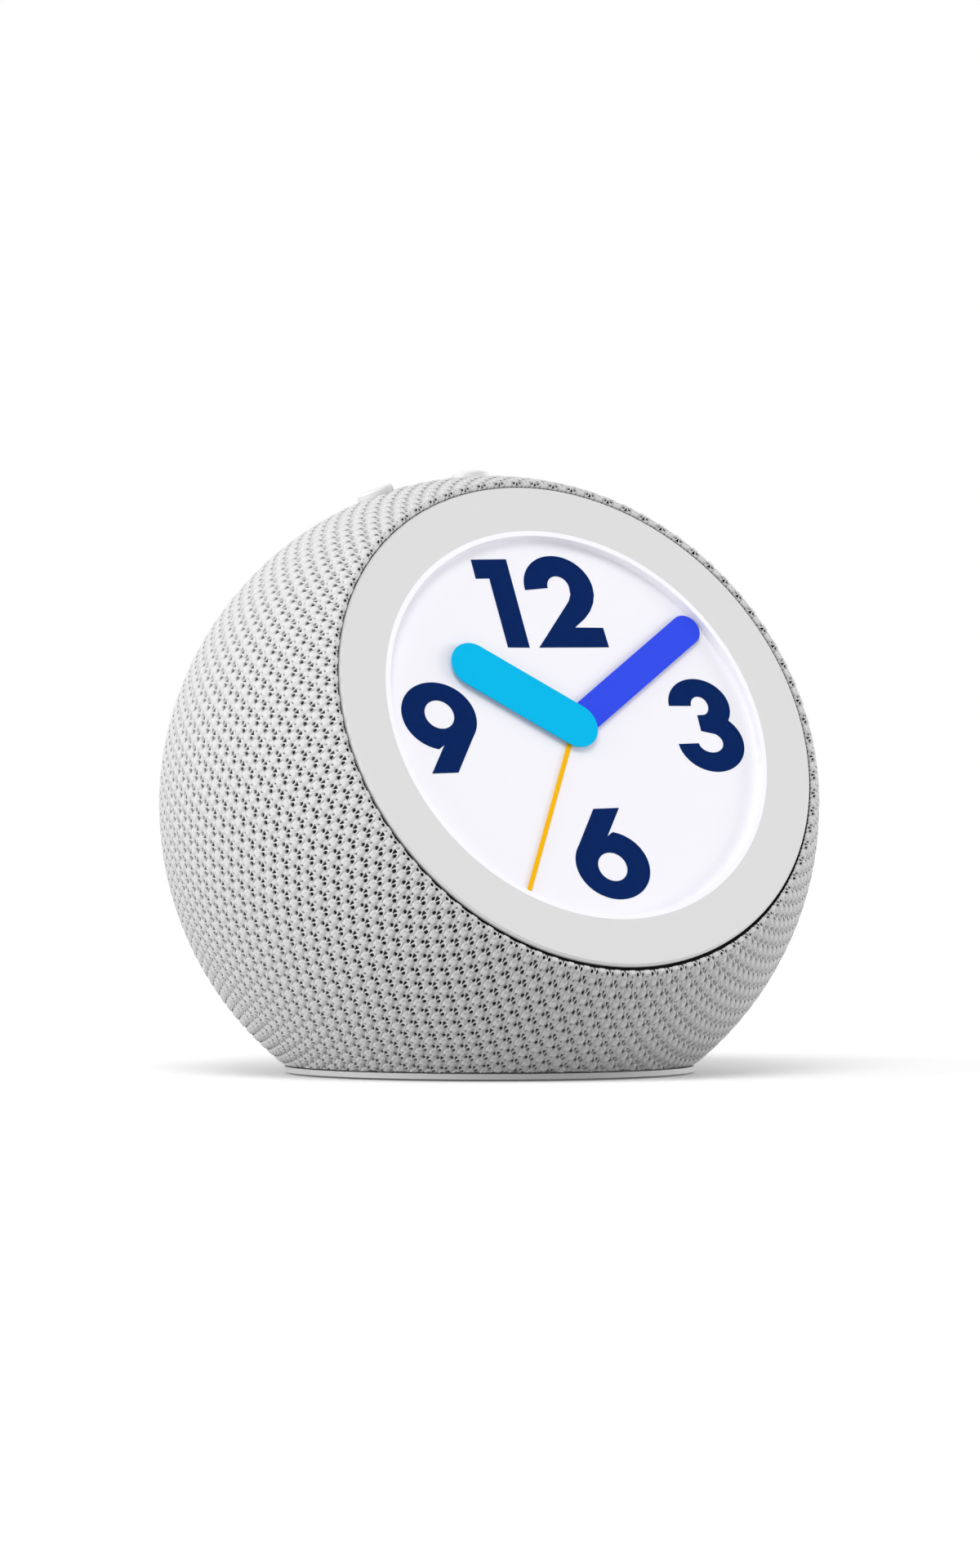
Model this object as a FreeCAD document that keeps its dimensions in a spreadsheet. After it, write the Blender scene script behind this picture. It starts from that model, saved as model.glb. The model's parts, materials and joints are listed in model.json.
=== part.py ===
import FreeCAD, Part
import math
import os
import Sketcher

# A talking clock: a knit-clad ball cut flat at the foot, with a round dial on a leaning flat face,
# three round buttons on top and a power inlet behind. Millimetres and degrees throughout.
# The origin is the middle of the foot's underside, +Z is up, the dial looks towards -Y, and +X is
# the right-hand side for someone who reads the dial.

doc = FreeCAD.newDocument("TalkingClock")

# Driving sizes, one group for each part of the clock
SIZES = [
    # The ball and its skin
    ("ball_radius", "50"),
    ("foot_setback", "20"),
    ("knit_thickness", "1.2"),
    ("knit_gap", "0.1"),
    ("shell_wall", "2.4"),
    ("hem_clearance", "0.25"),
    ("cut_overrun", "1"),
    # The leaning face
    ("dial_tilt", "25.15"),
    ("bezel_inset", "10.8"),
    ("bezel_width", "7.4"),
    ("hem_lap", "1.39"),
    ("bezel_bevel", "0.3"),
    ("skirt_wall", "1.2"),
    ("skirt_depth", "2.6"),
    ("lens_thickness", "0.5"),
    ("lens_fit", "0.05"),
    ("rim_wall", "0.75"),
    ("dial_lap", "2.2"),
    ("dial_thickness", "1.2"),
    ("dial_fit", "0.3"),
    ("groove_fit", "0.1"),
    ("frame_rim", "1.4"),
    ("frame_thickness", "3.4"),
    ("mouth_gap", "0.25"),
    ("mouth_flange_width", "8.4"),
    ("mouth_flange_thickness", "2"),
    ("frame_screw_edge", "3.1"),
    # Hands
    ("hand_thickness", "0.15"),
    ("hand_gap", "0.15"),
    ("hour_tip_gap", "10.16"),
    ("hour_hand_round", "3.58"),
    ("hour_hand_angle", "302.7"),
    ("minute_tip_gap", "1.14"),
    ("minute_hand_round", "2.4"),
    ("minute_hand_angle", "55.5"),
    ("second_tip_gap", "1.67"),
    ("second_hand_round", "0.33"),
    ("second_hub_radius", "2.3"),
    ("second_hand_angle", "208.4"),
    # Arbors and wheels of the movement
    ("running_fit", "0.05"),
    ("hour_arbor_radius", "0.5"),
    ("pipe_wall", "0.4"),
    ("bush_wall", "0.75"),
    ("dial_hole_gap", "0.1"),
    ("train_distance", "6"),
    ("minute_pinion_teeth", "12"),
    ("minute_wheel_teeth", "36"),
    ("hour_pinion_teeth", "10"),
    ("hour_wheel_teeth", "40"),
    ("second_wheel_teeth", "60"),
    ("second_wheel_module", "0.24"),
    ("wheel_thickness", "1"),
    ("pinion_overlap", "0.3"),
    ("wheel_boss_wall", "0.7"),
    ("end_shake", "0.15"),
    ("pivot_radius", "0.4"),
    ("pivot_length", "0.8"),
    # Movement case
    ("case_flange_lap", "3"),
    ("case_flange_thickness", "1.6"),
    ("train_clearance", "3.0875"),
    ("case_wall", "1.2"),
    ("case_fit", "0.2"),
    ("case_floor", "1.4"),
    ("second_wheel_room", "4.1"),
    ("bridge_thickness", "1"),
    ("train_room", "5.3"),
    ("pillar_inset", "1.8"),
    ("pillar_radius", "1.7"),
    # Buttons
    ("button_radius", "2.85"),
    ("button_proud", "0.95"),
    ("button_gap", "0.15"),
    ("button_spread_angle", "19.3"),
    ("button_lean_angle", "6.6"),
    ("button_travel", "0.3"),
    ("button_edge", "0.45"),
    ("button_flange_lap", "0.75"),
    ("button_flange_gap", "0.3"),
    ("button_flange_thickness", "0.8"),
    ("stem_radius", "1.2"),
    ("strap_thickness", "1.2"),
    ("strap_side_angle", "6"),
    ("strap_end_angle", "33"),
    ("strap_gap", "0.15"),
    ("strap_screw_angle", "29"),
    ("strap_boss_radius", "2.2"),
    ("switch_width", "3.6"),
    ("switch_height", "1.3"),
    ("switch_floor", "0.4"),
    ("plunger_radius", "0.8"),
    ("plunger_length", "1.25"),
    ("switch_clearance", "0.35"),
    ("cup_wall", "0.8"),
    ("cup_floor", "0.8"),
    # Speaker, on an axis that looks backwards
    ("speaker_height", "5"),
    ("speaker_setback", "11.7"),
    ("speaker_radius", "20"),
    ("gasket_thickness", "0.6"),
    ("basket_thickness", "1"),
    ("basket_depth", "9.5"),
    ("basket_throat", "10.5"),
    ("speaker_lip", "2.8"),
    ("magnet_radius", "11"),
    ("magnet_bore", "6"),
    ("magnet_length", "5"),
    ("pole_radius", "4"),
    ("pole_plate", "2"),
    ("coil_wall", "0.3"),
    ("coil_gap", "0.2"),
    ("coil_length", "7.6"),
    ("cone_thickness", "0.4"),
    ("cone_depth", "4.6"),
    ("surround_setback", "1.3"),
    ("surround_width", "1.6"),
    ("surround_thickness", "0.4"),
    ("spider_thickness", "0.3"),
    ("spider_gap", "0.1"),
    ("spider_lap", "0.3"),
    ("spider_height", "1.5"),
    ("dust_cap_rise", "1.8"),
    ("speaker_stroke", "1"),
    ("speaker_screw_inset", "1.6"),
    ("sound_hole_radius", "1.8"),
    ("sound_hole_pitch", "5.4"),
    # Where the two housings meet
    ("split_depth", "16.9"),
    ("tongue_height", "1.4"),
    ("tongue_share", "0.45"),
    # Foot
    ("pad_proud", "0.3"),
    ("pad_inset", "7.7"),
    ("pad_recess", "0.5"),
    ("pad_fit", "0.1"),
    ("plate_lip", "0.9"),
    ("plate_edge", "0.8"),
    ("lid_inset", "1"),
    ("lid_rise", "0.8"),
    ("knit_foot_gap", "0.15"),
    ("base_boss_inset", "4"),
    ("base_boss_radius", "3"),
    ("base_boss_height", "8.4"),
    # Main board and power inlet
    ("board_height", "6.1"),
    ("board_thickness", "1.6"),
    ("board_inset", "8.2"),
    ("board_tail_width", "14"),
    ("board_tail_setback", "4"),
    ("board_pillar_inset", "3.8"),
    ("board_pillar_radius", "2.2"),
    ("jack_width", "9"),
    ("jack_height", "11"),
    ("jack_length", "13"),
    ("jack_setback", "2.5"),
    ("jack_nose_radius", "4.2"),
    ("jack_nose_gap", "0.1"),
    ("jack_bore_radius", "2.9"),
    ("jack_bore_depth", "9.6"),
    ("jack_pin_radius", "1"),
    ("jack_pin_setback", "1.4"),
    ("port_bore", "5.2"),
    ("port_wall", "1.2"),
    ("port_setback", "13.5"),
    ("port_proud", "0.15"),
    ("port_fit", "0.05"),
    ("sleeve_wall", "1.5"),
    ("sleeve_setback", "1.5"),
    # Screws
    ("screw_radius", "0.9"),
    ("screw_head_radius", "1.8"),
    ("screw_head_height", "1"),
    ("small_screw_radius", "0.6"),
    ("small_head_radius", "1.15"),
    ("small_head_height", "0.7"),
    ("screw_gap", "0.05"),
    ("frame_screw_length", "3.2"),
    ("base_screw_length", "6"),
    ("board_screw_length", "4"),
    ("strap_screw_length", "3"),
    ("speaker_screw_length", "4"),
]

# Tooth shape as shares of the module, and of the tooth's pitch
addendum_share = 0.85
dedendum_share = 1.15
root_half_share = 0.92
tip_half_share = 0.30
# Crown of a button's edge, bore of a switch's cup, chord of the strap, and openings of the speaker
crown_in_share = 0.3
crown_mid_share = 0.5
crown_top_share = 0.8
cup_bore_share = 0.75
strap_chord_share = 1.05
window_share = 0.7
dome_edge_share = 0.8
dome_rise_share = 0.6

FRAME_SCREWS = 4
BASE_SCREWS = 4
BOARD_SCREWS = 3
CASE_SCREWS = 3
SPEAKER_SCREWS = 4
SOUND_ROWS = 5
BUTTONS = ["volume_down", "speak", "volume_up"]

sheet = doc.addObject("Spreadsheet::Sheet", "Sizes")
for row, (alias, text) in enumerate(SIZES, start=1):
    sheet.set(f"A{row}", alias)
    sheet.set(f"B{row}", text)
    sheet.setAlias(f"B{row}", alias)
doc.recompute()


class Size:
    """A size as a number, with the sheet formula that gives it."""

    def __init__(self, value, formula):
        self.value = value
        self.formula = formula

    def joined(self, other, sign, result):
        return Size(result, f"({self.formula} {sign} {text_of(other)})")

    def __add__(self, other):
        return self.joined(other, "+", self.value + number_of(other))

    def __sub__(self, other):
        return self.joined(other, "-", self.value - number_of(other))

    def __mul__(self, other):
        return self.joined(other, "*", self.value * number_of(other))

    def __truediv__(self, other):
        return self.joined(other, "/", self.value / number_of(other))

    def __rmul__(self, other):
        return self * other

    def __rsub__(self, other):
        return Size(other - self.value, f"({other} - {self.formula})")

    def __rtruediv__(self, other):
        return Size(other / self.value, f"({other} / {self.formula})")

    def __neg__(self):
        return Size(-self.value, f"(-{self.formula})")


def number_of(size):
    return size.value if isinstance(size, Size) else float(size)


def text_of(size):
    return size.formula if isinstance(size, Size) else str(size)


def square_root(size):
    return Size(math.sqrt(size.value), f"sqrt({size.formula})")


def sine(angle):
    return Size(math.sin(math.radians(angle.value)), f"sin({angle.formula})")


def cosine(angle):
    return Size(math.cos(math.radians(angle.value)), f"cos({angle.formula})")


class Sheet:
    """The sheet's own sizes, read by their names."""

    def __getattr__(self, alias):
        if alias not in NAMES:
            raise AttributeError(alias)
        return Size(float(sheet.get(alias)), f"Sizes.{alias}")


NAMES = {alias for alias, text in SIZES}
d = Sheet()


# Placing and binding

def bind(thing, property_name, size):
    if isinstance(size, Size):
        thing.setExpression(property_name, size.formula)
    else:
        setattr(thing, property_name, size)


def place_text(at=(0, 0, 0), turns=(), shift=(0, 0, 0)):
    """A placement formula: a move, turns about axes through it, then a move in the turned frame."""
    steps = [(at, Z, 0)]
    steps += [((0, 0, 0), axis, angle) for axis, angle in turns]
    steps.append((shift, Z, 0))
    texts = []
    for place, axis, angle in steps:
        x, y, z = (text_of(part) for part in place)
        ax, ay, az = axis
        texts.append(f"create(<<placement>>; create(<<vector>>; {x}; {y}; {z}); "
                     f"create(<<rotation>>; create(<<vector>>; {ax}; {ay}; {az}); {text_of(angle)}))")
    return " * ".join(texts)


def put(thing, at=(0, 0, 0), turns=(), shift=(0, 0, 0)):
    thing.setExpression("Placement", place_text(at, turns, shift))
    return thing


X, Y, Z = (1, 0, 0), (0, 1, 0), (0, 0, 1)


# Sketches and the features made from them

def plane_of(body, role):
    for feature in body.Origin.OriginFeatures:
        if feature.Role == role:
            return feature


def new_body(name):
    body = doc.addObject("PartDesign::Body", name)
    body.Label = name
    return body


def sketch_on(body, role, name, height=0, turn=0):
    sketch = body.newObject("Sketcher::SketchObject", name)
    sketch.AttachmentSupport = [(plane_of(body, role), "")]
    sketch.MapMode = "FlatFace"
    if isinstance(height, Size) or isinstance(turn, Size):
        sketch.setExpression("AttachmentOffset", place_text((0, 0, height), [(Z, turn)]))
    return sketch


def pin_point(sketch, geometry, end, point):
    """Fix one point of the sketch by its two coordinates."""
    for kind, axis, size in (("DistanceX", -2, point[0]), ("DistanceY", -1, point[1])):
        if isinstance(size, Size):
            row = sketch.addConstraint(Sketcher.Constraint(kind, -1, 1, geometry, end, size.value))
            sketch.setExpression(f"Constraints[{row}]", size.formula)
        else:
            sketch.addConstraint(Sketcher.Constraint("PointOnObject", geometry, end, axis))


def polygon(sketch, points):
    corners = [FreeCAD.Vector(number_of(x), number_of(y), 0) for x, y in points]
    first = sketch.GeometryCount
    count = len(points)
    for i in range(count):
        sketch.addGeometry(Part.LineSegment(corners[i], corners[(i + 1) % count]), False)
    for i in range(count):
        sketch.addConstraint(Sketcher.Constraint("Coincident", first + i, 2, first + (i + 1) % count, 1))
    for i, point in enumerate(points):
        pin_point(sketch, first + i, 1, point)


def circle(sketch, radius, centre=(0, 0)):
    middle = FreeCAD.Vector(number_of(centre[0]), number_of(centre[1]), 0)
    row = sketch.addGeometry(Part.Circle(middle, FreeCAD.Vector(0, 0, 1), radius.value), False)
    pin_point(sketch, row, 3, centre)
    rule = sketch.addConstraint(Sketcher.Constraint("Radius", row, radius.value))
    sketch.setExpression(f"Constraints[{rule}]", radius.formula)


def turned(name, points):
    """A body turned about its Z axis from an outline of (radius, height) corners."""
    body = new_body(name)
    sketch = sketch_on(body, "XZ_Plane", name + "_outline")
    polygon(sketch, points)
    turn = body.newObject("PartDesign::Revolution", name + "_turn")
    turn.Profile = sketch
    turn.ReferenceAxis = (sketch, ["V_Axis"])
    turn.Angle = 360
    return body


def pad(body, sketch, length):
    feature = body.newObject("PartDesign::Pad", sketch.Name + "_pad")
    feature.Profile = sketch
    bind(feature, "Length", length)
    return feature


def pocket(body, sketch, depth):
    feature = body.newObject("PartDesign::Pocket", sketch.Name + "_cut")
    feature.Profile = sketch
    bind(feature, "Length", depth)
    return feature


def round_places(count, ring, start=0):
    """Places spaced evenly round a ring, the first at the start angle."""
    places = []
    for i in range(count):
        angle = math.radians(start + 360 * i / count)
        places.append((ring * round(math.cos(angle), 12), ring * round(math.sin(angle), 12)))
    return [(x if abs(x.value) > 1e-9 else 0, y if abs(y.value) > 1e-9 else 0) for x, y in places]


def holes(body, name, places, radius, top, depth):
    """Round holes cut downwards from a height."""
    sketch = sketch_on(body, "XY_Plane", name, top)
    for place in places:
        circle(sketch, radius, place)
    return pocket(body, sketch, depth)


def posts(body, name, places, radius, foot, height, turn=0):
    """Round posts that rise from a height."""
    sketch = sketch_on(body, "XY_Plane", name, foot, turn)
    for place in places:
        circle(sketch, radius, place)
    return pad(body, sketch, height)


def teeth(body, name, count, module, foot, thickness, turn=0):
    """Straight-sided teeth round a blank of the root radius."""
    sketch = sketch_on(body, "XY_Plane", name + "_tooth", foot, turn)
    pitch_radius = module * count / 2
    root = pitch_radius - module * (dedendum_share + root_half_share)
    root_side = module * root_half_share
    tip = pitch_radius + module * addendum_share
    tip_side = module * tip_half_share
    polygon(sketch, [(root, -root_side), (tip, -tip_side), (tip, tip_side), (root, root_side)])
    tooth = pad(body, sketch, thickness)
    ring = body.newObject("PartDesign::PolarPattern", name + "_ring")
    ring.Originals = [tooth]
    ring.Axis = (sketch, ["N_Axis"])
    ring.Angle = 360
    ring.setExpression("Occurrences", count.formula)
    body.Tip = ring


# Primitives and booleans

def ball(name, radius):
    """A ball whose poles lie on the dial's axis, so that the mouth and the inlet cut both away."""
    thing = doc.addObject("Part::Sphere", name)
    bind(thing, "Radius", radius)
    return put(thing, (0, 0, 0), DIAL_TURN)


def rod(name, radius, foot, top, at=(0, 0), turns=()):
    """A cylinder from one height to another, turned about the ball's centre."""
    thing = doc.addObject("Part::Cylinder", name)
    bind(thing, "Radius", radius)
    bind(thing, "Height", top - foot)
    return put(thing, (0, 0, 0), turns, (at[0], at[1], foot))


def block(name, low, high, turns=()):
    thing = doc.addObject("Part::Box", name)
    for side, lower, upper in zip(("Length", "Width", "Height"), low, high):
        bind(thing, side, upper - lower)
    return put(thing, (0, 0, 0), turns, low)


def fuse(name, things):
    thing = doc.addObject("Part::MultiFuse", name)
    thing.Shapes = things
    return thing


def common(name, things):
    thing = doc.addObject("Part::MultiCommon", name)
    thing.Shapes = things
    return thing


def cut(name, base, tool):
    thing = doc.addObject("Part::Cut", name)
    thing.Base = base
    thing.Tool = tool
    return thing


def tube(name, bore, radius, foot, top, at=(0, 0), turns=()):
    outside = rod(name + "_outside", radius, foot, top, at, turns)
    inside = rod(name + "_inside", bore, foot, top, at, turns)
    return cut(name, outside, inside)


def group(name, things):
    thing = doc.addObject("Part::Compound", name)
    thing.Links = things
    return thing


# Shared places
foot_radius = d.ball_radius - d.foot_setback
foot_to_centre = square_root(d.ball_radius * d.ball_radius - foot_radius * foot_radius)
centre_height = foot_to_centre + d.pad_proud
shell_outer = d.ball_radius - d.knit_thickness - d.knit_gap
shell_inner = shell_outer - d.shell_wall
plate_top = d.pad_proud + d.plate_edge
lid_top = plate_top + d.lid_rise
board_low = lid_top + d.board_height
board_top = board_low + d.board_thickness
port_height = board_top + d.jack_height / 2 - centre_height

DIAL_TURN = [(X, 90 - d.dial_tilt)]
BACK_TURN = [(X, -90)]


def in_ball(thing):
    return put(thing, (0, 0, centre_height))


def in_dial(thing):
    """Stand a piece on the dial's axis, which starts at the ball's centre."""
    return put(thing, (0, 0, centre_height), DIAL_TURN)


def button_turn(index):
    return [(Y, d.button_spread_angle * (index - 1)), (X, -d.button_lean_angle)]


# Radii of the round face: the knit is cut where the ball is a little wider than the bezel
bezel_radius = d.ball_radius - d.bezel_inset
bezel_bore = bezel_radius - d.bezel_width
dial_radius = bezel_bore + d.dial_lap
skirt_bore = dial_radius + d.dial_fit
skirt_radius = skirt_bore + d.skirt_wall
frame_radius = skirt_radius + d.frame_rim
mouth_flange_bore = frame_radius - d.mouth_flange_width
frame_screw_circle = mouth_flange_bore + d.frame_screw_edge
hem_radius = bezel_radius + d.hem_lap
lens_radius = bezel_bore - d.lens_fit

# Heights along the dial's axis, counted from the ball's centre
face_distance = square_root(d.ball_radius * d.ball_radius - hem_radius * hem_radius)
lens_back = face_distance - d.lens_thickness
hand_room = d.hand_thickness * 3 + d.hand_gap * 4
dial_face = lens_back - hand_room
dial_back = dial_face - d.dial_thickness
frame_back = dial_back - d.frame_thickness
flange_back = frame_back - d.mouth_flange_thickness
second_hand_low = dial_face + d.hand_gap
minute_hand_low = second_hand_low + d.hand_thickness + d.hand_gap
hour_hand_low = minute_hand_low + d.hand_thickness + d.hand_gap
case_front = dial_back - d.case_flange_thickness
bridge_front = case_front - d.second_wheel_room
bridge_back = bridge_front - d.bridge_thickness
case_inside = bridge_back - d.train_room
case_back = case_inside - d.case_floor

# Motion work: the pitch circles of each pair touch, so the modules follow from the distance and
# the teeth, and the case has room for the minute wheel beside the centre
minute_module = d.train_distance * 2 / (d.minute_pinion_teeth + d.minute_wheel_teeth)
hour_module = d.train_distance * 2 / (d.hour_pinion_teeth + d.hour_wheel_teeth)
minute_wheel_tip = minute_module * d.minute_wheel_teeth / 2 + minute_module * addendum_share
case_radius = d.train_distance + minute_wheel_tip + d.train_clearance + d.case_wall
case_flange_radius = case_radius + d.case_flange_lap
pillar_circle = case_radius - d.case_wall - d.pillar_inset

# Radii of the nested arbors, each running in the next
minute_bore = d.hour_arbor_radius + d.running_fit
minute_pipe_radius = minute_bore + d.pipe_wall
second_bore = minute_pipe_radius + d.running_fit
second_pipe_radius = second_bore + d.pipe_wall
bush_bore = second_pipe_radius + d.running_fit
bush_radius = bush_bore + d.bush_wall

# The dial end: bezel, lens, dial rim, dial and the frame that holds them
skirt_end = dial_face - d.skirt_depth


def make_bezel():
    return in_dial(turned("bezel_ring", [
        (bezel_bore, dial_face),
        (bezel_bore, face_distance),
        (bezel_radius - d.bezel_bevel, face_distance),
        (bezel_radius, face_distance - d.bezel_bevel),
        (bezel_radius, dial_face),
        (skirt_radius, dial_face),
        (skirt_radius, skirt_end),
        (skirt_bore, skirt_end),
        (skirt_bore, dial_face),
    ]))


def make_lens():
    return in_dial(turned("lens", [
        (0, lens_back), (lens_radius, lens_back), (lens_radius, face_distance), (0, face_distance)]))


def make_dial_rim():
    bore = lens_radius - d.rim_wall
    return in_dial(turned("dial_rim", [
        (bore, dial_face), (lens_radius, dial_face), (lens_radius, lens_back), (bore, lens_back)]))


def make_dial():
    bore = bush_radius + d.dial_hole_gap
    return in_dial(turned("dial_plate", [
        (bore, dial_back), (dial_radius, dial_back), (dial_radius, dial_face), (bore, dial_face)]))


def make_front_frame():
    opening = case_radius + d.case_fit
    rebate = case_flange_radius + d.case_fit
    groove_in = skirt_bore - d.groove_fit
    groove_out = skirt_radius + d.groove_fit
    groove_floor = skirt_end - d.groove_fit
    frame = turned("front_frame", [
        (opening, frame_back),
        (frame_radius, frame_back),
        (frame_radius, dial_back),
        (groove_out, dial_back),
        (groove_out, groove_floor),
        (groove_in, groove_floor),
        (groove_in, dial_back),
        (rebate, dial_back),
        (rebate, case_front),
        (opening, case_front),
    ])
    places = round_places(FRAME_SCREWS, frame_screw_circle, 45)
    holes(frame, "screw_hole", places, d.screw_radius + d.screw_gap, dial_back, d.frame_thickness)
    holes(frame, "head_sink", places, d.screw_head_radius + d.screw_gap, dial_back, d.screw_head_height)
    return in_dial(frame)


def screw_set(name, places, head_low, length, radius, head_radius, head_height, lift, head_up=True):
    """Headed screws that stand at given places, heads up or down the axis."""
    screws = []
    for i, place in enumerate(places):
        head_top = head_low + head_height
        if head_up:
            low, high = head_low - length, head_low
        else:
            low, high = head_top, head_top + length
        head = rod(f"{name}_head_{i}", head_radius, head_low, head_top, place)
        shank = rod(f"{name}_shank_{i}", radius, low, high, place)
        screws.append(fuse(f"{name}_{i}", [head, shank]))
    return lift(group(name, screws))


def make_frame_screws():
    places = round_places(FRAME_SCREWS, frame_screw_circle, 45)
    low = dial_back - d.screw_head_height
    return screw_set("frame_screws", places, low, d.frame_screw_length, d.screw_radius,
                     d.screw_head_radius, d.screw_head_height, in_dial)


# Hands: flat strips with round ends, at the time the clock shows

def hand(name, reach, round_end, low, angle):
    """A flat strip with round ends from the pivot outwards, clockwise from twelve by its angle."""
    body = new_body(name)
    sketch = sketch_on(body, "XY_Plane", name + "_strip", low, -angle)
    polygon(sketch, [(-round_end, 0), (round_end, 0), (round_end, reach), (-round_end, reach)])
    pad(body, sketch, d.hand_thickness)
    posts(body, name + "_ends", [(0, 0), (0, reach)], round_end, low, d.hand_thickness, -angle)
    return body


def make_hour_hand():
    reach = bezel_bore - d.hour_hand_round - d.hour_tip_gap
    return in_dial(hand("hour_hand", reach, d.hour_hand_round, hour_hand_low, d.hour_hand_angle))


def make_minute_hand():
    reach = bezel_bore - d.minute_hand_round - d.minute_tip_gap
    body = hand("minute_hand", reach, d.minute_hand_round, minute_hand_low, d.minute_hand_angle)
    top = minute_hand_low + d.hand_thickness
    holes(body, "pipe_hole", [(0, 0)], minute_pipe_radius, top, d.hand_thickness)
    return in_dial(body)


def make_second_hand():
    reach = bezel_bore - d.second_hand_round - d.second_tip_gap
    body = hand("second_hand", reach, d.second_hand_round, second_hand_low, d.second_hand_angle)
    posts(body, "hub", [(0, 0)], d.second_hub_radius, second_hand_low, d.hand_thickness)
    top = second_hand_low + d.hand_thickness
    holes(body, "pipe_hole", [(0, 0)], second_pipe_radius, top, d.hand_thickness)
    return in_dial(body)


# Three nested arbors, and the wheel that joins the minute pipe to the hour arbor

def root_radius(count, module):
    return module * count / 2 - module * dedendum_share


hour_wheel_low = case_inside + d.end_shake + d.pinion_overlap
hour_wheel_high = hour_wheel_low + d.wheel_thickness
hour_pinion_high = hour_wheel_high + d.pinion_overlap
minute_wheel_low = hour_pinion_high + d.pinion_overlap
minute_wheel_high = minute_wheel_low + d.wheel_thickness
minute_pinion_low = minute_wheel_low - d.pinion_overlap / 2
minute_pinion_high = minute_wheel_high + d.pinion_overlap
second_wheel_low = bridge_front + d.end_shake + d.pinion_overlap
second_wheel_high = second_wheel_low + d.wheel_thickness


def make_hour_arbor():
    blank = root_radius(d.hour_wheel_teeth, hour_module)
    boss = d.hour_arbor_radius + d.wheel_boss_wall
    arbor = turned("hour_arbor", [
        (0, case_inside - d.pivot_length),
        (d.pivot_radius, case_inside - d.pivot_length),
        (d.pivot_radius, case_inside + d.end_shake),
        (boss, case_inside + d.end_shake),
        (boss, hour_wheel_low),
        (blank, hour_wheel_low),
        (blank, hour_wheel_high),
        (boss, hour_wheel_high),
        (boss, minute_pinion_low - d.end_shake),
        (d.hour_arbor_radius, minute_pinion_low - d.end_shake),
        (d.hour_arbor_radius, hour_hand_low),
        (0, hour_hand_low),
    ])
    teeth(arbor, "hour_wheel", d.hour_wheel_teeth, hour_module, hour_wheel_low, d.wheel_thickness)
    return in_dial(arbor)


def make_minute_pipe():
    blank = root_radius(d.minute_pinion_teeth, minute_module)
    pipe = turned("minute_pipe", [
        (minute_bore, minute_pinion_low),
        (blank, minute_pinion_low),
        (blank, minute_pinion_high),
        (minute_pipe_radius, minute_pinion_high),
        (minute_pipe_radius, minute_hand_low + d.hand_thickness),
        (minute_bore, minute_hand_low + d.hand_thickness),
    ])
    teeth(pipe, "minute_pinion", d.minute_pinion_teeth, minute_module, minute_pinion_low,
          minute_pinion_high - minute_pinion_low)
    return in_dial(pipe)


def make_minute_wheel():
    """The wheel beside the centre: it meshes with the minute pinion and drives the hour wheel."""
    pinion_blank = root_radius(d.hour_pinion_teeth, hour_module)
    wheel_blank = root_radius(d.minute_wheel_teeth, minute_module)
    pinion_low = hour_wheel_low - d.pinion_overlap / 2
    wheel = turned("minute_wheel", [
        (0, case_inside - d.pivot_length),
        (d.pivot_radius, case_inside - d.pivot_length),
        (d.pivot_radius, case_inside + d.end_shake),
        (pinion_blank, case_inside + d.end_shake),
        (pinion_blank, minute_wheel_low),
        (wheel_blank, minute_wheel_low),
        (wheel_blank, minute_wheel_high),
        (pinion_blank, minute_wheel_high),
        (pinion_blank, bridge_back - d.end_shake),
        (d.pivot_radius, bridge_back - d.end_shake),
        (d.pivot_radius, bridge_back + d.pivot_length),
        (0, bridge_back + d.pivot_length),
    ])
    teeth(wheel, "hour_pinion", d.hour_pinion_teeth, hour_module, pinion_low,
          hour_pinion_high - pinion_low)
    half_pitch = 180 / d.minute_wheel_teeth
    teeth(wheel, "wheel", d.minute_wheel_teeth, minute_module, minute_wheel_low, d.wheel_thickness,
          half_pitch)
    return put(wheel, (0, 0, centre_height), DIAL_TURN, (0, -d.train_distance, 0))


def make_second_pipe():
    blank = root_radius(d.second_wheel_teeth, d.second_wheel_module)
    boss = second_pipe_radius + d.wheel_boss_wall
    pipe = turned("second_pipe", [
        (second_bore, bridge_front + d.end_shake),
        (boss, bridge_front + d.end_shake),
        (boss, second_wheel_low),
        (blank, second_wheel_low),
        (blank, second_wheel_high),
        (second_pipe_radius, second_wheel_high),
        (second_pipe_radius, second_hand_low + d.hand_thickness),
        (second_bore, second_hand_low + d.hand_thickness),
    ])
    teeth(pipe, "second_wheel", d.second_wheel_teeth, d.second_wheel_module, second_wheel_low,
          d.wheel_thickness)
    return in_dial(pipe)


# Movement case: a flanged base with the bush, a bridge and a cup-shaped cover
case_screw_places = round_places(CASE_SCREWS, pillar_circle, 90)


def make_movement_base():
    base = turned("movement_base", [
        (bush_bore, case_front),
        (case_flange_radius, case_front),
        (case_flange_radius, dial_back),
        (bush_radius, dial_back),
        (bush_radius, dial_face),
        (bush_bore, dial_face),
    ])
    posts(base, "pillar", case_screw_places, d.pillar_radius, bridge_front, d.second_wheel_room)
    depth = d.second_wheel_room + d.case_flange_thickness / 2
    holes(base, "screw_hole", case_screw_places, d.small_screw_radius, bridge_front + depth, depth)
    return in_dial(base)


def make_movement_bridge():
    bridge = turned("movement_bridge", [
        (minute_pipe_radius + d.running_fit, bridge_back),
        (case_radius - d.case_wall - d.running_fit, bridge_back),
        (case_radius - d.case_wall - d.running_fit, bridge_front),
        (minute_pipe_radius + d.running_fit, bridge_front),
    ])
    holes(bridge, "screw_hole", case_screw_places, d.small_screw_radius + d.screw_gap, bridge_front,
          d.bridge_thickness)
    holes(bridge, "pivot_hole", [(0, -d.train_distance)], d.pivot_radius + d.running_fit, bridge_front,
          d.bridge_thickness)
    return in_dial(bridge)


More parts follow.
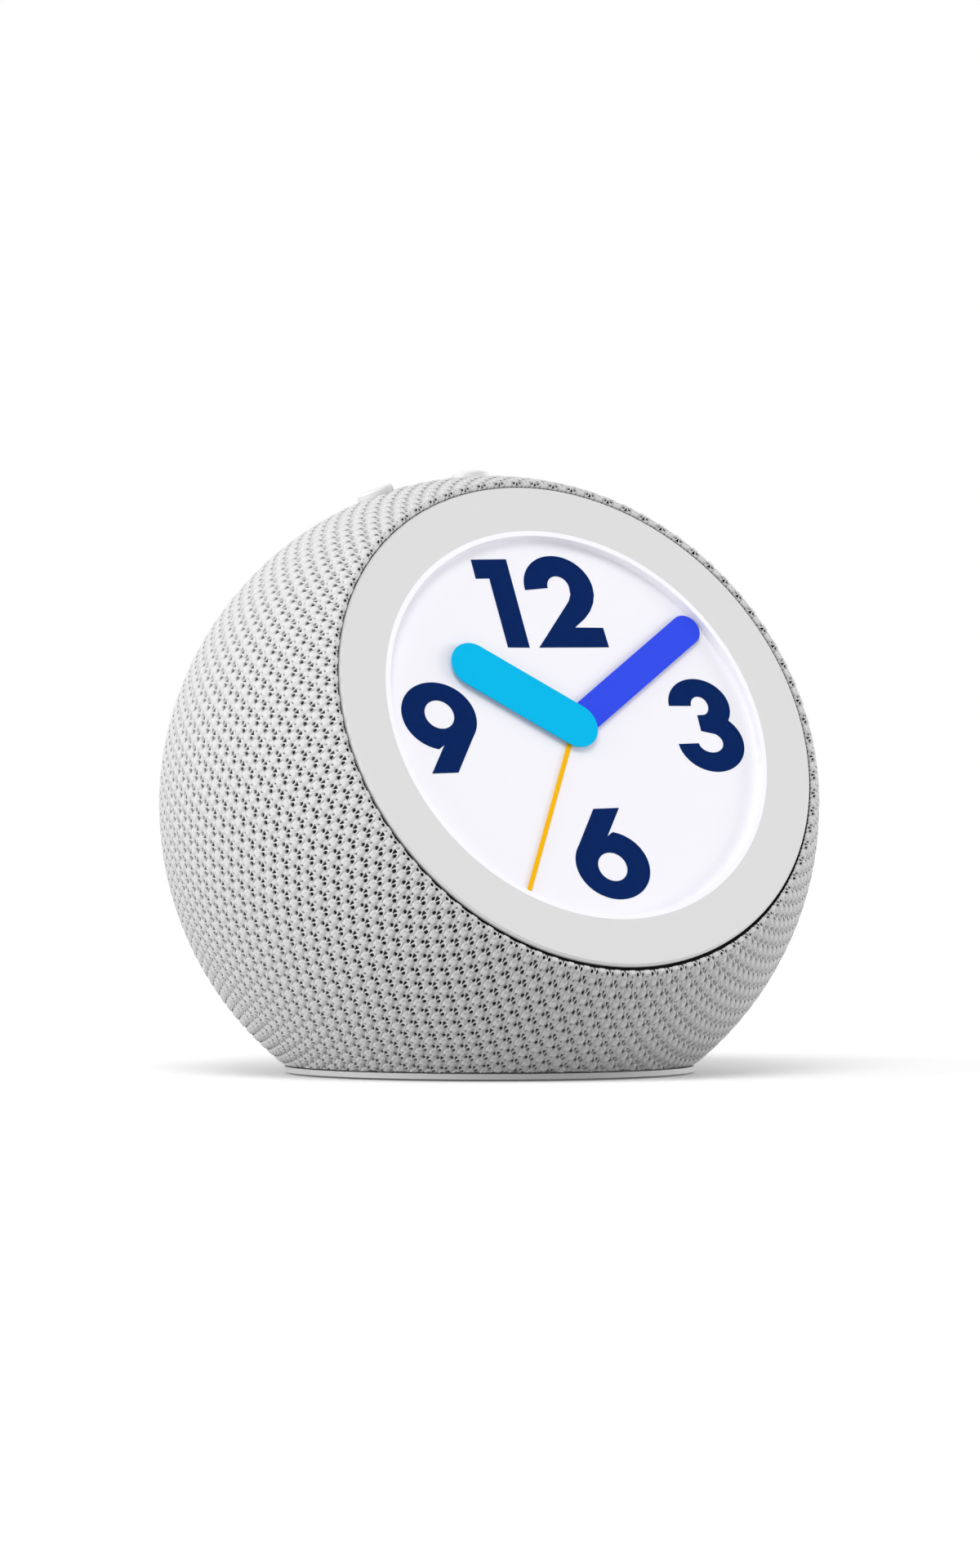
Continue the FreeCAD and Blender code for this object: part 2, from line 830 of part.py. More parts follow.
def make_movement_cover():
    inside = case_radius - d.case_wall
    cover = turned("movement_cover", [
        (0, case_back),
        (case_radius, case_back),
        (case_radius, case_front),
        (inside, case_front),
        (inside, case_inside),
        (0, case_inside),
    ])
    posts(cover, "pillar", case_screw_places, d.pillar_radius, case_inside, d.train_room)
    depth = d.train_room + d.case_floor
    holes(cover, "screw_hole", case_screw_places, d.small_screw_radius + d.screw_gap, bridge_back, depth)
    pivots = [(0, 0), (0, -d.train_distance)]
    pivot_depth = d.pivot_length + d.end_shake
    holes(cover, "pivot_hole", pivots, d.pivot_radius + d.running_fit, case_inside, pivot_depth)
    return in_dial(cover)


def make_movement_screws():
    length = d.case_floor + d.train_room + d.bridge_thickness + d.second_wheel_room
    return screw_set("movement_screws", case_screw_places, case_back - d.small_head_height, length,
                     d.small_screw_radius, d.small_head_radius, d.small_head_height, in_dial, False)


# Buttons: each stands on its own line out of the ball's centre

button_flange_radius = d.button_radius + d.button_flange_lap
flange_top = shell_inner - d.button_flange_gap
flange_low = flange_top - d.button_flange_thickness
strap_out = flange_low - d.button_travel - d.strap_gap
strap_in = strap_out - d.strap_thickness
strap_in_mid = strap_in * cosine(d.strap_side_angle * strap_chord_share)
switch_top = strap_in_mid - d.switch_clearance - d.plunger_length / 2
switch_low = switch_top - d.switch_height
cup_low = switch_low - d.cup_floor
plunger_low = switch_low + d.switch_floor + d.button_travel + d.running_fit
plunger_high = plunger_low + d.plunger_length
hat_top = d.ball_radius + d.button_proud


def make_button(index, name):
    """A cap with a crowned top, the flange that keeps it in, and the stem that meets the switch."""
    side_top = hat_top - d.button_edge
    cap = turned(name + "_button", [
        (0, plunger_high),
        (d.stem_radius, plunger_high),
        (d.stem_radius, flange_low),
        (button_flange_radius, flange_low),
        (button_flange_radius, flange_top),
        (d.button_radius, flange_top),
        (d.button_radius, side_top),
        (d.button_radius - d.button_edge * crown_in_share, side_top + d.button_edge * crown_mid_share),
        (d.button_radius - d.button_edge, side_top + d.button_edge * crown_top_share),
        (0, hat_top),
    ])
    return put(cap, (0, 0, centre_height), button_turn(index))


def make_plunger(index, name):
    plunger = turned(name + "_plunger", [
        (0, plunger_low), (d.plunger_radius, plunger_low), (d.plunger_radius, plunger_high),
        (0, plunger_high)])
    return put(plunger, (0, 0, centre_height), button_turn(index))


def make_switches():
    switches = []
    half = d.switch_width / 2
    for index, name in enumerate(BUTTONS):
        turn = button_turn(index)
        case = block(name + "_switch_case", (-half, -half, switch_low), (half, half, switch_top), turn)
        well = rod(name + "_switch_well", d.plunger_radius + d.running_fit,
                   switch_low + d.switch_floor, switch_top + d.cut_overrun, (0, 0), turn)
        switches.append(cut(name + "_switch", case, well))
    return in_ball(group("button_switches", switches))


def strap_places():
    turns = []
    for side in (-1, 1):
        turns.append([(Y, d.strap_screw_angle * side), (X, -d.button_lean_angle)])
    return turns


def make_button_carrier():
    """A curved strap under the shell that guides the stems, with a cup below it for each switch."""
    strap = new_body("carrier_strap")
    sketch = sketch_on(strap, "YZ_Plane", "strap_section")
    low = d.button_lean_angle - d.strap_side_angle
    high = d.button_lean_angle + d.strap_side_angle
    polygon(sketch, [
        (strap_in * sine(low), strap_in * cosine(low)),
        (strap_in * sine(high), strap_in * cosine(high)),
        (strap_out * sine(high), strap_out * cosine(high)),
        (strap_out * sine(low), strap_out * cosine(low)),
    ])
    turn = strap.newObject("PartDesign::Revolution", "strap_turn")
    turn.Profile = sketch
    turn.ReferenceAxis = (sketch, ["H_Axis"])
    turn.Midplane = True
    bind(turn, "Angle", d.strap_end_angle * 2)
    inside = d.switch_width * cup_bore_share
    wide = d.switch_width / 2 + d.switch_clearance / 2
    solids, spaces = [strap], []
    for index, name in enumerate(BUTTONS):
        turns = button_turn(index)
        solids.append(rod(name + "_cup", inside + d.cup_wall, cup_low, strap_in + d.strap_gap, (0, 0), turns))
        spaces.append(rod(name + "_room", inside, switch_low, strap_in_mid - d.strap_gap, (0, 0), turns))
        spaces.append(rod(name + "_guide", d.stem_radius + d.running_fit, switch_low,
                          strap_out + d.cut_overrun, (0, 0), turns))
        spaces.append(block(name + "_side_slot", (-wide, 0, switch_low),
                            (wide, inside + d.cup_wall * 2, strap_in_mid - d.strap_gap), turns))
    for side, turns in enumerate(strap_places()):
        spaces.append(rod(f"strap_hole_{side}", d.screw_radius + d.screw_gap, cup_low,
                          strap_out + d.cut_overrun, (0, 0), turns))
    whole = fuse("carrier_whole", solids)
    return in_ball(cut("button_carrier", whole, fuse("carrier_spaces", spaces)))


def make_carrier_screws():
    screws = []
    head_top = strap_in_mid - d.screw_gap
    for side, turns in enumerate(strap_places()):
        head = rod(f"carrier_screw_head_{side}", d.screw_head_radius, head_top - d.screw_head_height,
                   head_top, (0, 0), turns)
        shank = rod(f"carrier_screw_shank_{side}", d.screw_radius, head_top,
                    head_top + d.strap_screw_length, (0, 0), turns)
        screws.append(fuse(f"carrier_screw_{side}", [head, shank]))
    return in_ball(group("carrier_screws", screws))


# Speaker: turned pieces on an axis that looks straight back, heights counted from the ball's centre
speaker_seat = shell_inner - d.speaker_setback
speaker_bore = d.speaker_radius - d.speaker_lip
speaker_screw_circle = d.speaker_radius - d.speaker_screw_inset
surround_radius = speaker_bore - d.surround_setback
cone_radius = surround_radius - d.surround_width - d.spider_gap
basket_front = speaker_seat - d.gasket_thickness
basket_back = basket_front - d.basket_depth
top_plate_back = basket_back - d.pole_plate
magnet_back = top_plate_back - d.magnet_length
yoke_back = magnet_back - d.pole_plate
coil_bore = d.pole_radius + d.coil_gap
coil_radius = coil_bore + d.coil_wall
gap_bore = coil_radius + d.coil_gap
coil_low = top_plate_back - d.speaker_stroke - d.coil_gap
coil_high = coil_low + d.coil_length
cone_rim = coil_high + d.cone_depth


def in_speaker(thing):
    return put(thing, (0, 0, centre_height + d.speaker_height), BACK_TURN)


def make_basket():
    """A pressed frame: front flange, sloping wall, and the floor that the top plate sits under."""
    lip = speaker_bore
    slope_in = d.basket_throat + d.speaker_lip
    basket = turned("speaker_basket", [
        (gap_bore + d.speaker_stroke, basket_back),
        (slope_in, basket_back),
        (lip, basket_front - d.basket_thickness),
        (d.speaker_radius, basket_front - d.basket_thickness),
        (d.speaker_radius, basket_front),
        (lip - d.basket_thickness, basket_front),
        (slope_in - d.basket_thickness, basket_back + d.basket_thickness),
        (gap_bore + d.speaker_stroke, basket_back + d.basket_thickness),
    ])
    places = round_places(SPEAKER_SCREWS, speaker_screw_circle, 45)
    holes(basket, "screw_hole", places, d.small_screw_radius + d.screw_gap, basket_front,
          d.basket_thickness)
    windows = round_places(SPEAKER_SCREWS, (slope_in + lip) / 2 - d.basket_thickness, 0)
    holes(basket, "basket_window", windows, d.speaker_lip * window_share, basket_front, d.basket_depth)
    return in_speaker(basket)


def ring(name, bore, radius, low, high):
    return in_speaker(turned(name, [(bore, low), (radius, low), (radius, high), (bore, high)]))


def make_gasket():
    gasket = turned("speaker_gasket", [
        (speaker_bore, basket_front),
        (d.speaker_radius, basket_front),
        (d.speaker_radius, speaker_seat),
        (speaker_bore, speaker_seat),
    ])
    places = round_places(SPEAKER_SCREWS, speaker_screw_circle, 45)
    holes(gasket, "screw_hole", places, d.small_screw_radius + d.screw_gap, speaker_seat,
          d.gasket_thickness)
    return in_speaker(gasket)


def make_yoke():
    return in_speaker(turned("speaker_yoke", [
        (0, yoke_back), (d.magnet_radius - d.coil_gap, yoke_back),
        (d.magnet_radius - d.coil_gap, magnet_back), (d.pole_radius, magnet_back),
        (d.pole_radius, basket_back), (0, basket_back)]))


def make_cone():
    """A shallow cone of even wall from the coil out to the surround."""
    return in_speaker(turned("speaker_cone", [
        (coil_bore, coil_high),
        (coil_radius + d.cone_thickness, coil_high),
        (cone_radius, cone_rim),
        (cone_radius, cone_rim + d.cone_thickness),
        (coil_radius + d.cone_thickness, coil_high + d.cone_thickness),
        (coil_bore, coil_high + d.cone_thickness),
    ]))


def make_dust_cap():
    foot = coil_high + d.cone_thickness * 2
    rise = foot + d.dust_cap_rise
    edge = coil_radius
    return in_speaker(turned("speaker_dust_cap", [
        (0, foot),
        (edge, foot),
        (edge * dome_edge_share, foot + d.dust_cap_rise * dome_rise_share),
        (0, rise),
    ]))


def make_surround():
    """A half roll that carries the cone's rim inside the basket."""
    inner = cone_radius + d.spider_gap
    outer = surround_radius
    middle = (inner + outer) / 2
    wall = d.surround_thickness
    high = cone_rim + (outer - inner) / 2 + wall
    return in_speaker(turned("speaker_surround", [
        (inner, cone_rim),
        (inner + wall, cone_rim),
        (inner + wall, high - wall * 2),
        (middle, high - wall),
        (outer - wall, high - wall * 2),
        (outer - wall, cone_rim),
        (outer, cone_rim),
        (outer, high - wall),
        (middle, high),
        (inner, high - wall),
    ]))


def make_spider():
    low = basket_back + d.basket_thickness + d.spider_height
    return ring("speaker_spider", coil_radius + d.spider_gap, d.basket_throat + d.spider_lap, low,
                low + d.spider_thickness)


def make_speaker_screws():
    places = round_places(SPEAKER_SCREWS, speaker_screw_circle, 45)
    low = basket_front - d.basket_thickness - d.small_head_height
    return screw_set("speaker_screws", places, low, d.speaker_screw_length, d.small_screw_radius,
                     d.small_head_radius, d.small_head_height, in_speaker, False)


# Housing: a perforated ball shell, made whole here and then parted into two at the split
housing_foot = lid_top - centre_height
base_boss_places = round_places(BASE_SCREWS, foot_radius - d.base_boss_inset, 45)
port_start = d.ball_radius - d.port_setback


def beyond_dial(name, level):
    """Everything in front of a plane across the dial's axis."""
    return rod(name, d.ball_radius * 2, level, level + d.ball_radius, (0, 0), DIAL_TURN)


def below(name, level, radius):
    return rod(name, radius * 2, -radius * 2, level)


def sound_holes():
    """Rows of round holes behind the speaker, on a triangular pattern."""
    rows = []
    step = d.sound_hole_pitch
    rise = step * math.sin(math.radians(60))
    middle = SOUND_ROWS // 2
    for row in range(-middle, middle + 1):
        count = SOUND_ROWS - abs(row)
        for place in range(count):
            across = step * (place - (count - 1) / 2)
            up = d.speaker_height + rise * row
            rows.append(rod(f"sound_hole_{row + middle}_{place}", d.sound_hole_radius, speaker_seat,
                            d.ball_radius, (across, -up), BACK_TURN))
    return rows


def make_housings():
    wall = cut("shell_wall_whole", ball("shell_outside", shell_outer), ball("shell_inside", shell_inner))
    inner_parts = [
        tube("mouth_flange", mouth_flange_bore, d.ball_radius, flange_back, frame_back, (0, 0), DIAL_TURN),
        tube("speaker_tube", speaker_bore, d.speaker_radius + d.coil_gap,
             speaker_seat, d.ball_radius, (0, -d.speaker_height), BACK_TURN),
        tube("port_sleeve", d.port_bore + d.port_wall + d.port_fit,
             d.port_bore + d.port_wall + d.port_fit + d.sleeve_wall,
             port_start - d.sleeve_setback, d.ball_radius, (0, -port_height), BACK_TURN),
    ]
    for i, place in enumerate(base_boss_places):
        top = housing_foot + d.base_boss_height
        inner_parts.append(rod(f"base_boss_{i}", d.base_boss_radius, housing_foot, top, place))
    for side, turns in enumerate(strap_places()):
        inner_parts.append(rod(f"strap_boss_{side}", d.strap_boss_radius, strap_out,
                               shell_outer + d.cut_overrun, (0, 0), turns))
    ribs = common("shell_ribs", [fuse("rib_set", inner_parts), ball("rib_limit", shell_outer)])
    whole = fuse("shell_whole", [wall, ribs])
    openings = [
        beyond_dial("mouth_cut", dial_face - d.mouth_gap),
        below("foot_cut", housing_foot, d.ball_radius),
        rod("port_hole", d.port_bore + d.port_wall + d.port_fit, port_start - d.sleeve_setback,
            d.ball_radius, (0, -port_height), BACK_TURN),
    ]
    for index, name in enumerate(BUTTONS):
        openings.append(rod(name + "_shell_hole", d.button_radius + d.button_gap, strap_out,
                            d.ball_radius, (0, 0), button_turn(index)))
    for i, place in enumerate(base_boss_places):
        openings.append(rod(f"base_pilot_{i}", d.screw_radius, housing_foot - d.cut_overrun,
                            housing_foot + d.base_boss_height - d.cut_overrun, place))
    for side, turns in enumerate(strap_places()):
        openings.append(rod(f"strap_pilot_{side}", d.screw_radius, strap_out, shell_inner, (0, 0), turns))
    for i, place in enumerate(round_places(FRAME_SCREWS, frame_screw_circle, 45)):
        openings.append(rod(f"frame_pilot_{i}", d.screw_radius, flange_back, frame_back, place, DIAL_TURN))
    for i, (x, y) in enumerate(round_places(SPEAKER_SCREWS, speaker_screw_circle, 45)):
        openings.append(rod(f"speaker_pilot_{i}", d.small_screw_radius, speaker_seat,
                            speaker_seat + d.speaker_screw_length, (x, y - d.speaker_height), BACK_TURN))
    openings += sound_holes()
    shell = cut("shell_drilled", whole, fuse("shell_openings", openings))
    split = -d.split_depth
    tongue = shell_inner + d.shell_wall * d.tongue_share
    top = split + d.tongue_height
    lower_room = fuse("lower_room", [
        below("split_side", split, d.ball_radius),
        common("tongue_room", [below("tongue_side", top, d.ball_radius), ball("tongue_ball", tongue)]),
    ])
    upper_cut = fuse("upper_cut", [
        below("split_side_clear", split, d.ball_radius),
        common("tongue_room_clear", [below("tongue_side_clear", top + d.port_fit, d.ball_radius),
                                     ball("tongue_ball_clear", tongue + d.port_fit)]),
    ])
    return [in_ball(common("lower_housing", [shell, lower_room])),
            in_ball(cut("upper_housing", shell, upper_cut))]


def make_knit():
    """The fabric as one even skin, trimmed at the bezel, the foot, the buttons and the inlet."""
    inside = ball("knit_inside", shell_outer + d.knit_gap)
    skin = cut("knit_skin", ball("knit_outside", d.ball_radius), inside)
    hem = bezel_radius + d.hem_clearance
    openings = [
        beyond_dial("hem_plane", face_distance - d.bezel_bevel),
        rod("hem_edge", hem, frame_back, d.ball_radius, (0, 0), DIAL_TURN),
        below("knit_foot_cut", plate_top + d.knit_foot_gap - centre_height, d.ball_radius),
        rod("knit_port", d.port_bore + d.port_wall + d.hem_clearance, port_start, d.ball_radius,
            (0, -port_height), BACK_TURN),
    ]
    for index, name in enumerate(BUTTONS):
        openings.append(rod(name + "_knit_hole", d.button_radius + d.hem_clearance, flange_low,
                            d.ball_radius + d.cut_overrun, (0, 0), button_turn(index)))
    return in_ball(cut("knit_cover", skin, fuse("knit_openings", openings)))


# Foot: the base plate that shows as a thin light edge, and the rubber pad under it
board_radius = foot_radius - d.board_inset
board_pillar_places = round_places(BOARD_SCREWS, board_radius - d.board_pillar_inset, -90)
plate_radius = foot_radius + d.plate_lip
lid_radius = foot_radius - d.lid_inset
pad_radius = plate_radius - d.pad_inset
jack_face = port_start - d.jack_setback
jack_nose_end = port_start - d.jack_nose_gap


def make_base_plate():
    recess = d.pad_proud + d.pad_recess
    rim = pad_radius + d.pad_fit
    plate = turned("base_plate", [
        (0, recess),
        (rim, recess),
        (rim, d.pad_proud),
        (plate_radius, d.pad_proud),
        (plate_radius, plate_top),
        (lid_radius, plate_top),
        (lid_radius, lid_top),
        (0, lid_top),
    ])
    posts(plate, "board_pillar", board_pillar_places, d.board_pillar_radius, lid_top, d.board_height)
    holes(plate, "board_pilot", board_pillar_places, d.small_screw_radius, board_low, d.board_height)
    holes(plate, "screw_hole", base_boss_places, d.screw_radius + d.screw_gap, lid_top,
          d.plate_edge + d.lid_rise)
    holes(plate, "head_sink", base_boss_places, d.screw_head_radius + d.screw_gap,
          d.pad_proud + d.screw_head_height, d.screw_head_height)
    return plate


def make_foot_pad():
    return turned("foot_pad", [
        (0, 0), (pad_radius - d.pad_proud, 0), (pad_radius, d.pad_proud),
        (pad_radius, d.pad_proud + d.pad_recess), (0, d.pad_proud + d.pad_recess)])


def as_made(thing):
    return thing


def make_base_screws():
    return screw_set("base_screws", base_boss_places, d.pad_proud, d.base_screw_length, d.screw_radius,
                     d.screw_head_radius, d.screw_head_height, as_made, False)


def make_main_board():
    board = new_body("main_board")
    disc = sketch_on(board, "XY_Plane", "board_disc", board_low)
    circle(disc, board_radius)
    pad(board, disc, d.board_thickness)
    tail = sketch_on(board, "XY_Plane", "board_tail", board_low)
    half = d.board_tail_width / 2
    reach = jack_face - d.board_tail_setback
    polygon(tail, [(-half, 0), (half, 0), (half, reach), (-half, reach)])
    pad(board, tail, d.board_thickness)
    holes(board, "screw_hole", board_pillar_places, d.small_screw_radius + d.screw_gap, board_top,
          d.board_thickness)
    return board


def make_board_screws():
    return screw_set("board_screws", board_pillar_places, board_top, d.board_screw_length,
                     d.small_screw_radius, d.small_head_radius, d.small_head_height, as_made)


def make_jack():
    """The inlet's block on the board, with its nose in the port and a pin down its bore."""
    half = d.jack_width / 2
    axis = centre_height + port_height
    low = board_top
    case = block("jack_block", (-half, jack_face - d.jack_length, low),
                 (half, jack_face, low + d.jack_height))
    at = (0, -axis)
    nose = rod("jack_nose", d.jack_nose_radius, jack_face - d.cut_overrun, jack_nose_end, at, BACK_TURN)
    bore = rod("jack_bore", d.jack_bore_radius, jack_nose_end - d.jack_bore_depth,
               jack_nose_end + d.cut_overrun, at, BACK_TURN)
    body = cut("dc_jack_bored", fuse("jack_whole", [case, nose]), bore)
    pin = rod("jack_pin", d.jack_pin_radius, jack_nose_end - d.jack_bore_depth - d.cut_overrun,
              jack_nose_end - d.jack_pin_setback, at, BACK_TURN)
    return put(fuse("dc_jack", [body, pin]))


def make_port_surround():
    sleeve = tube("port_tube", d.port_bore, d.port_bore + d.port_wall, port_start,
                  d.ball_radius + d.cut_overrun, (0, -port_height), BACK_TURN)
    return in_ball(common("port_surround", [sleeve, ball("port_limit", d.ball_radius + d.port_proud)]))


def make_all():
    parts = [
        make_knit(), *make_housings(), make_bezel(), make_lens(), make_dial_rim(), make_dial(),
        make_front_frame(), make_frame_screws(),
        make_hour_hand(), make_minute_hand(), make_second_hand(),
        make_hour_arbor(), make_minute_pipe(), make_second_pipe(), make_minute_wheel(),
        make_movement_base(), make_movement_bridge(), make_movement_cover(), make_movement_screws(),
        make_switches(), make_button_carrier(), make_carrier_screws(),
        make_basket(), make_gasket(), make_yoke(), make_cone(), make_dust_cap(), make_surround(),
        make_spider(), make_speaker_screws(),
        ring("speaker_top_plate", gap_bore, d.magnet_radius - d.coil_gap, top_plate_back, basket_back),
        ring("speaker_magnet", d.magnet_bore, d.magnet_radius, magnet_back, top_plate_back),
        ring("voice_coil", coil_bore, coil_radius, coil_low, coil_high),
        make_base_plate(), make_foot_pad(), make_base_screws(), make_main_board(), make_board_screws(),
        make_jack(), make_port_surround(),
    ]
    for index, name in enumerate(BUTTONS):
        parts.append(make_button(index, name))
        parts.append(make_plunger(index, name))
    return parts


parts = make_all()
doc.recompute()

faults = [thing.Name for thing in doc.Objects if "Invalid" in thing.State or "Error" in thing.State]
for part in parts:
    if part.Shape.isNull() or not part.Shape.isValid() or not part.Shape.Solids:
        faults.append(part.Label + " shape")
if faults:
    raise RuntimeError("not built: " + ", ".join(faults))

os.makedirs("parts", exist_ok=True)
for part in parts:
    part.Shape.exportStep(os.path.join("parts", part.Label + ".step"))
    box = part.Shape.BoundBox
    print(f"{part.Label}: {len(part.Shape.Solids)} solids, {part.Shape.Volume:.1f} mm3, "
          f"z {box.ZMin:.2f} to {box.ZMax:.2f}")
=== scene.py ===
import json
import math

import bpy
import numpy as np
from mathutils import Matrix, Vector


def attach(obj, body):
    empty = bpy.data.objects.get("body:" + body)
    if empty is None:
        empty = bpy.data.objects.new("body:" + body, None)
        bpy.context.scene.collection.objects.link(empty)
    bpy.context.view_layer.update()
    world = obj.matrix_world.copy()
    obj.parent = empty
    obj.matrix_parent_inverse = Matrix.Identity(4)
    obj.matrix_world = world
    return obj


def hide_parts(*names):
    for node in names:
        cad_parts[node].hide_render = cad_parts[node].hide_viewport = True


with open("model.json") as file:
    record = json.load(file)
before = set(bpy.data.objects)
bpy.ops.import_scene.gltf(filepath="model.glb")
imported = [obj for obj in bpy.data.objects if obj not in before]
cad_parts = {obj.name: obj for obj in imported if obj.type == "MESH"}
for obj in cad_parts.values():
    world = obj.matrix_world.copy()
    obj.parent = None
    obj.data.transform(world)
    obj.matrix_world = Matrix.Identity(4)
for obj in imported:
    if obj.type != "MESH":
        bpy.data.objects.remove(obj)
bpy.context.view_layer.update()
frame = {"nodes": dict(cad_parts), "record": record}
print("frame loaded:", len(frame["nodes"]), "nodes")

# the ball, as the frame has it: millimetres and degrees
ball = {"radius": 50.0, "centreHeight": 40.3, "dialTilt": 25.15}
mm = 0.001
centre = Vector((0, 0, ball["centreHeight"]))
tilt = math.radians(ball["dialTilt"])
dialOut = Vector((0, -math.cos(tilt), math.sin(tilt)))
dialUp = Vector((0, math.sin(tilt), math.cos(tilt)))
dialRight = Vector((1, 0, 0))


def pick(thing):
    if bpy.context.mode != "OBJECT":
        bpy.ops.object.mode_set(mode="OBJECT")
    bpy.ops.object.select_all(action="DESELECT")
    thing.select_set(True)
    bpy.context.view_layer.objects.active = thing


# weld doubled points, cut away what lies below the foot's edge, and turn every face outwards
def cleanMesh(thing, weld=None, footEdge=None):
    pick(thing)
    bpy.ops.object.mode_set(mode="EDIT")
    bpy.ops.mesh.select_all(action="SELECT")
    if weld:
        bpy.ops.mesh.remove_doubles(threshold=weld)
    if footEdge:
        bpy.ops.mesh.bisect(plane_co=(0, 0, footEdge * mm), plane_no=(0, 0, 1), clear_inner=True)
        bpy.ops.mesh.select_all(action="SELECT")
    bpy.ops.mesh.normals_make_consistent(inside=False)
    bpy.ops.object.mode_set(mode="OBJECT")


# a piece drawn flat in millimetres goes onto the dial's axis, with its place in its mesh
def layOnDial(thing, height):
    turn = Matrix((dialRight, dialUp, dialOut)).transposed().to_4x4()
    place = Matrix.Translation((centre + dialOut * height) * mm)
    thing.matrix_world = place @ turn @ Matrix.Scale(mm, 4)
    bpy.context.view_layer.update()
    pick(thing)
    bpy.ops.object.transform_apply(location=True, rotation=True, scale=True)


def fromHex(code):
    parts = [int(code[i:i + 2], 16) / 255 for i in (1, 3, 5)]
    linear = [c / 12.92 if c <= 0.04045 else ((c + 0.055) / 1.055) ** 2.4 for c in parts]
    return (*linear, 1.0)


# one node with its settings, socket values, incoming links and, on a ramp, its colour stops
def addNode(tree, kind, settings=None, values=None, links=None, stops=None):
    node = tree.nodes.new(kind)
    for name, value in (settings or {}).items():
        setattr(node, name, value)
    for socket, value in (values or {}).items():
        node.inputs[socket].default_value = value
    for socket, source in (links or {}).items():
        tree.links.new(source, node.inputs[socket])
    if stops:
        elements = node.color_ramp.elements
        while len(elements) < len(stops):
            elements.new(0.5)
        for element, (place, colour) in zip(elements, stops):
            element.position, element.color = place, colour
    return node


def startFinish(name, roughness, **values):
    material = bpy.data.materials.new(name)
    material.use_nodes = True
    shader = material.node_tree.nodes["Principled BSDF"]
    shader.inputs["Roughness"].default_value = roughness
    for socket, value in values.items():
        shader.inputs[socket.replace("_", " ")].default_value = value
    return material


# a colour that one noise mottles, with a fine relief from another; sizes and depths in mm
def grainedFinish(name, code, roughness, mottle, relief, **values):
    material = startFinish(name, roughness, **values)
    tree = material.node_tree
    shader = tree.nodes["Principled BSDF"]
    point = addNode(tree, "ShaderNodeTexCoord").outputs["Object"]
    patches, grain = (
        addNode(tree, "ShaderNodeTexNoise",
                values={"Scale": 1 / (noise["size"] * mm), "Detail": noise["detail"]},
                links={"Vector": point}).outputs["Fac"]
        for noise in (mottle, relief))
    base = fromHex(code)
    low = (*(c * (1 - mottle["tint"]) for c in base[:3]), 1.0)
    start, end = mottle["span"]
    colour = addNode(tree, "ShaderNodeValToRGB", links={"Fac": patches},
                     stops=[(start, low), (end, base)])
    bump = addNode(tree, "ShaderNodeBump", links={"Height": grain},
                   values={"Strength": relief["strength"], "Distance": relief["depth"] * mm})
    tree.links.new(colour.outputs["Color"], shader.inputs["Base Color"])
    tree.links.new(bump.outputs["Normal"], shader.inputs["Normal"])
    return material


# a spark-eroded mould leaves an even colour, a faint mottle and a grain that softens highlights
def mouldedPlastic(name, code, roughness, grain, depth, tint=0.03, **values):
    return grainedFinish(name, code, roughness,
                         {"size": 9, "detail": 3.0, "span": (0.3, 0.7), "tint": tint},
                         {"size": grain, "detail": 4.0, "strength": 0.35, "depth": depth}, **values)


# turning, pressing or plating leaves fine marks that darken and roughen the metal in places
def workedMetal(name, code, roughness, grain):
    return grainedFinish(name, code, roughness,
                         {"size": grain, "detail": 5.0, "span": (0.35, 0.65), "tint": 0.14},
                         {"size": grain, "detail": 5.0, "strength": 0.2, "depth": 0.01},
                         Metallic=1.0)


# a sprayed matt coat: very even, hardly any reflection, the faintest orange peel
def mattLacquer(name, code):
    return grainedFinish(name, code, 0.6,
                         {"size": 0.8, "detail": 2.0, "span": (0.35, 0.65), "tint": 0.015},
                         {"size": 0.8, "detail": 2.0, "strength": 0.1, "depth": 0.005},
                         Specular_IOR_Level=0.05)


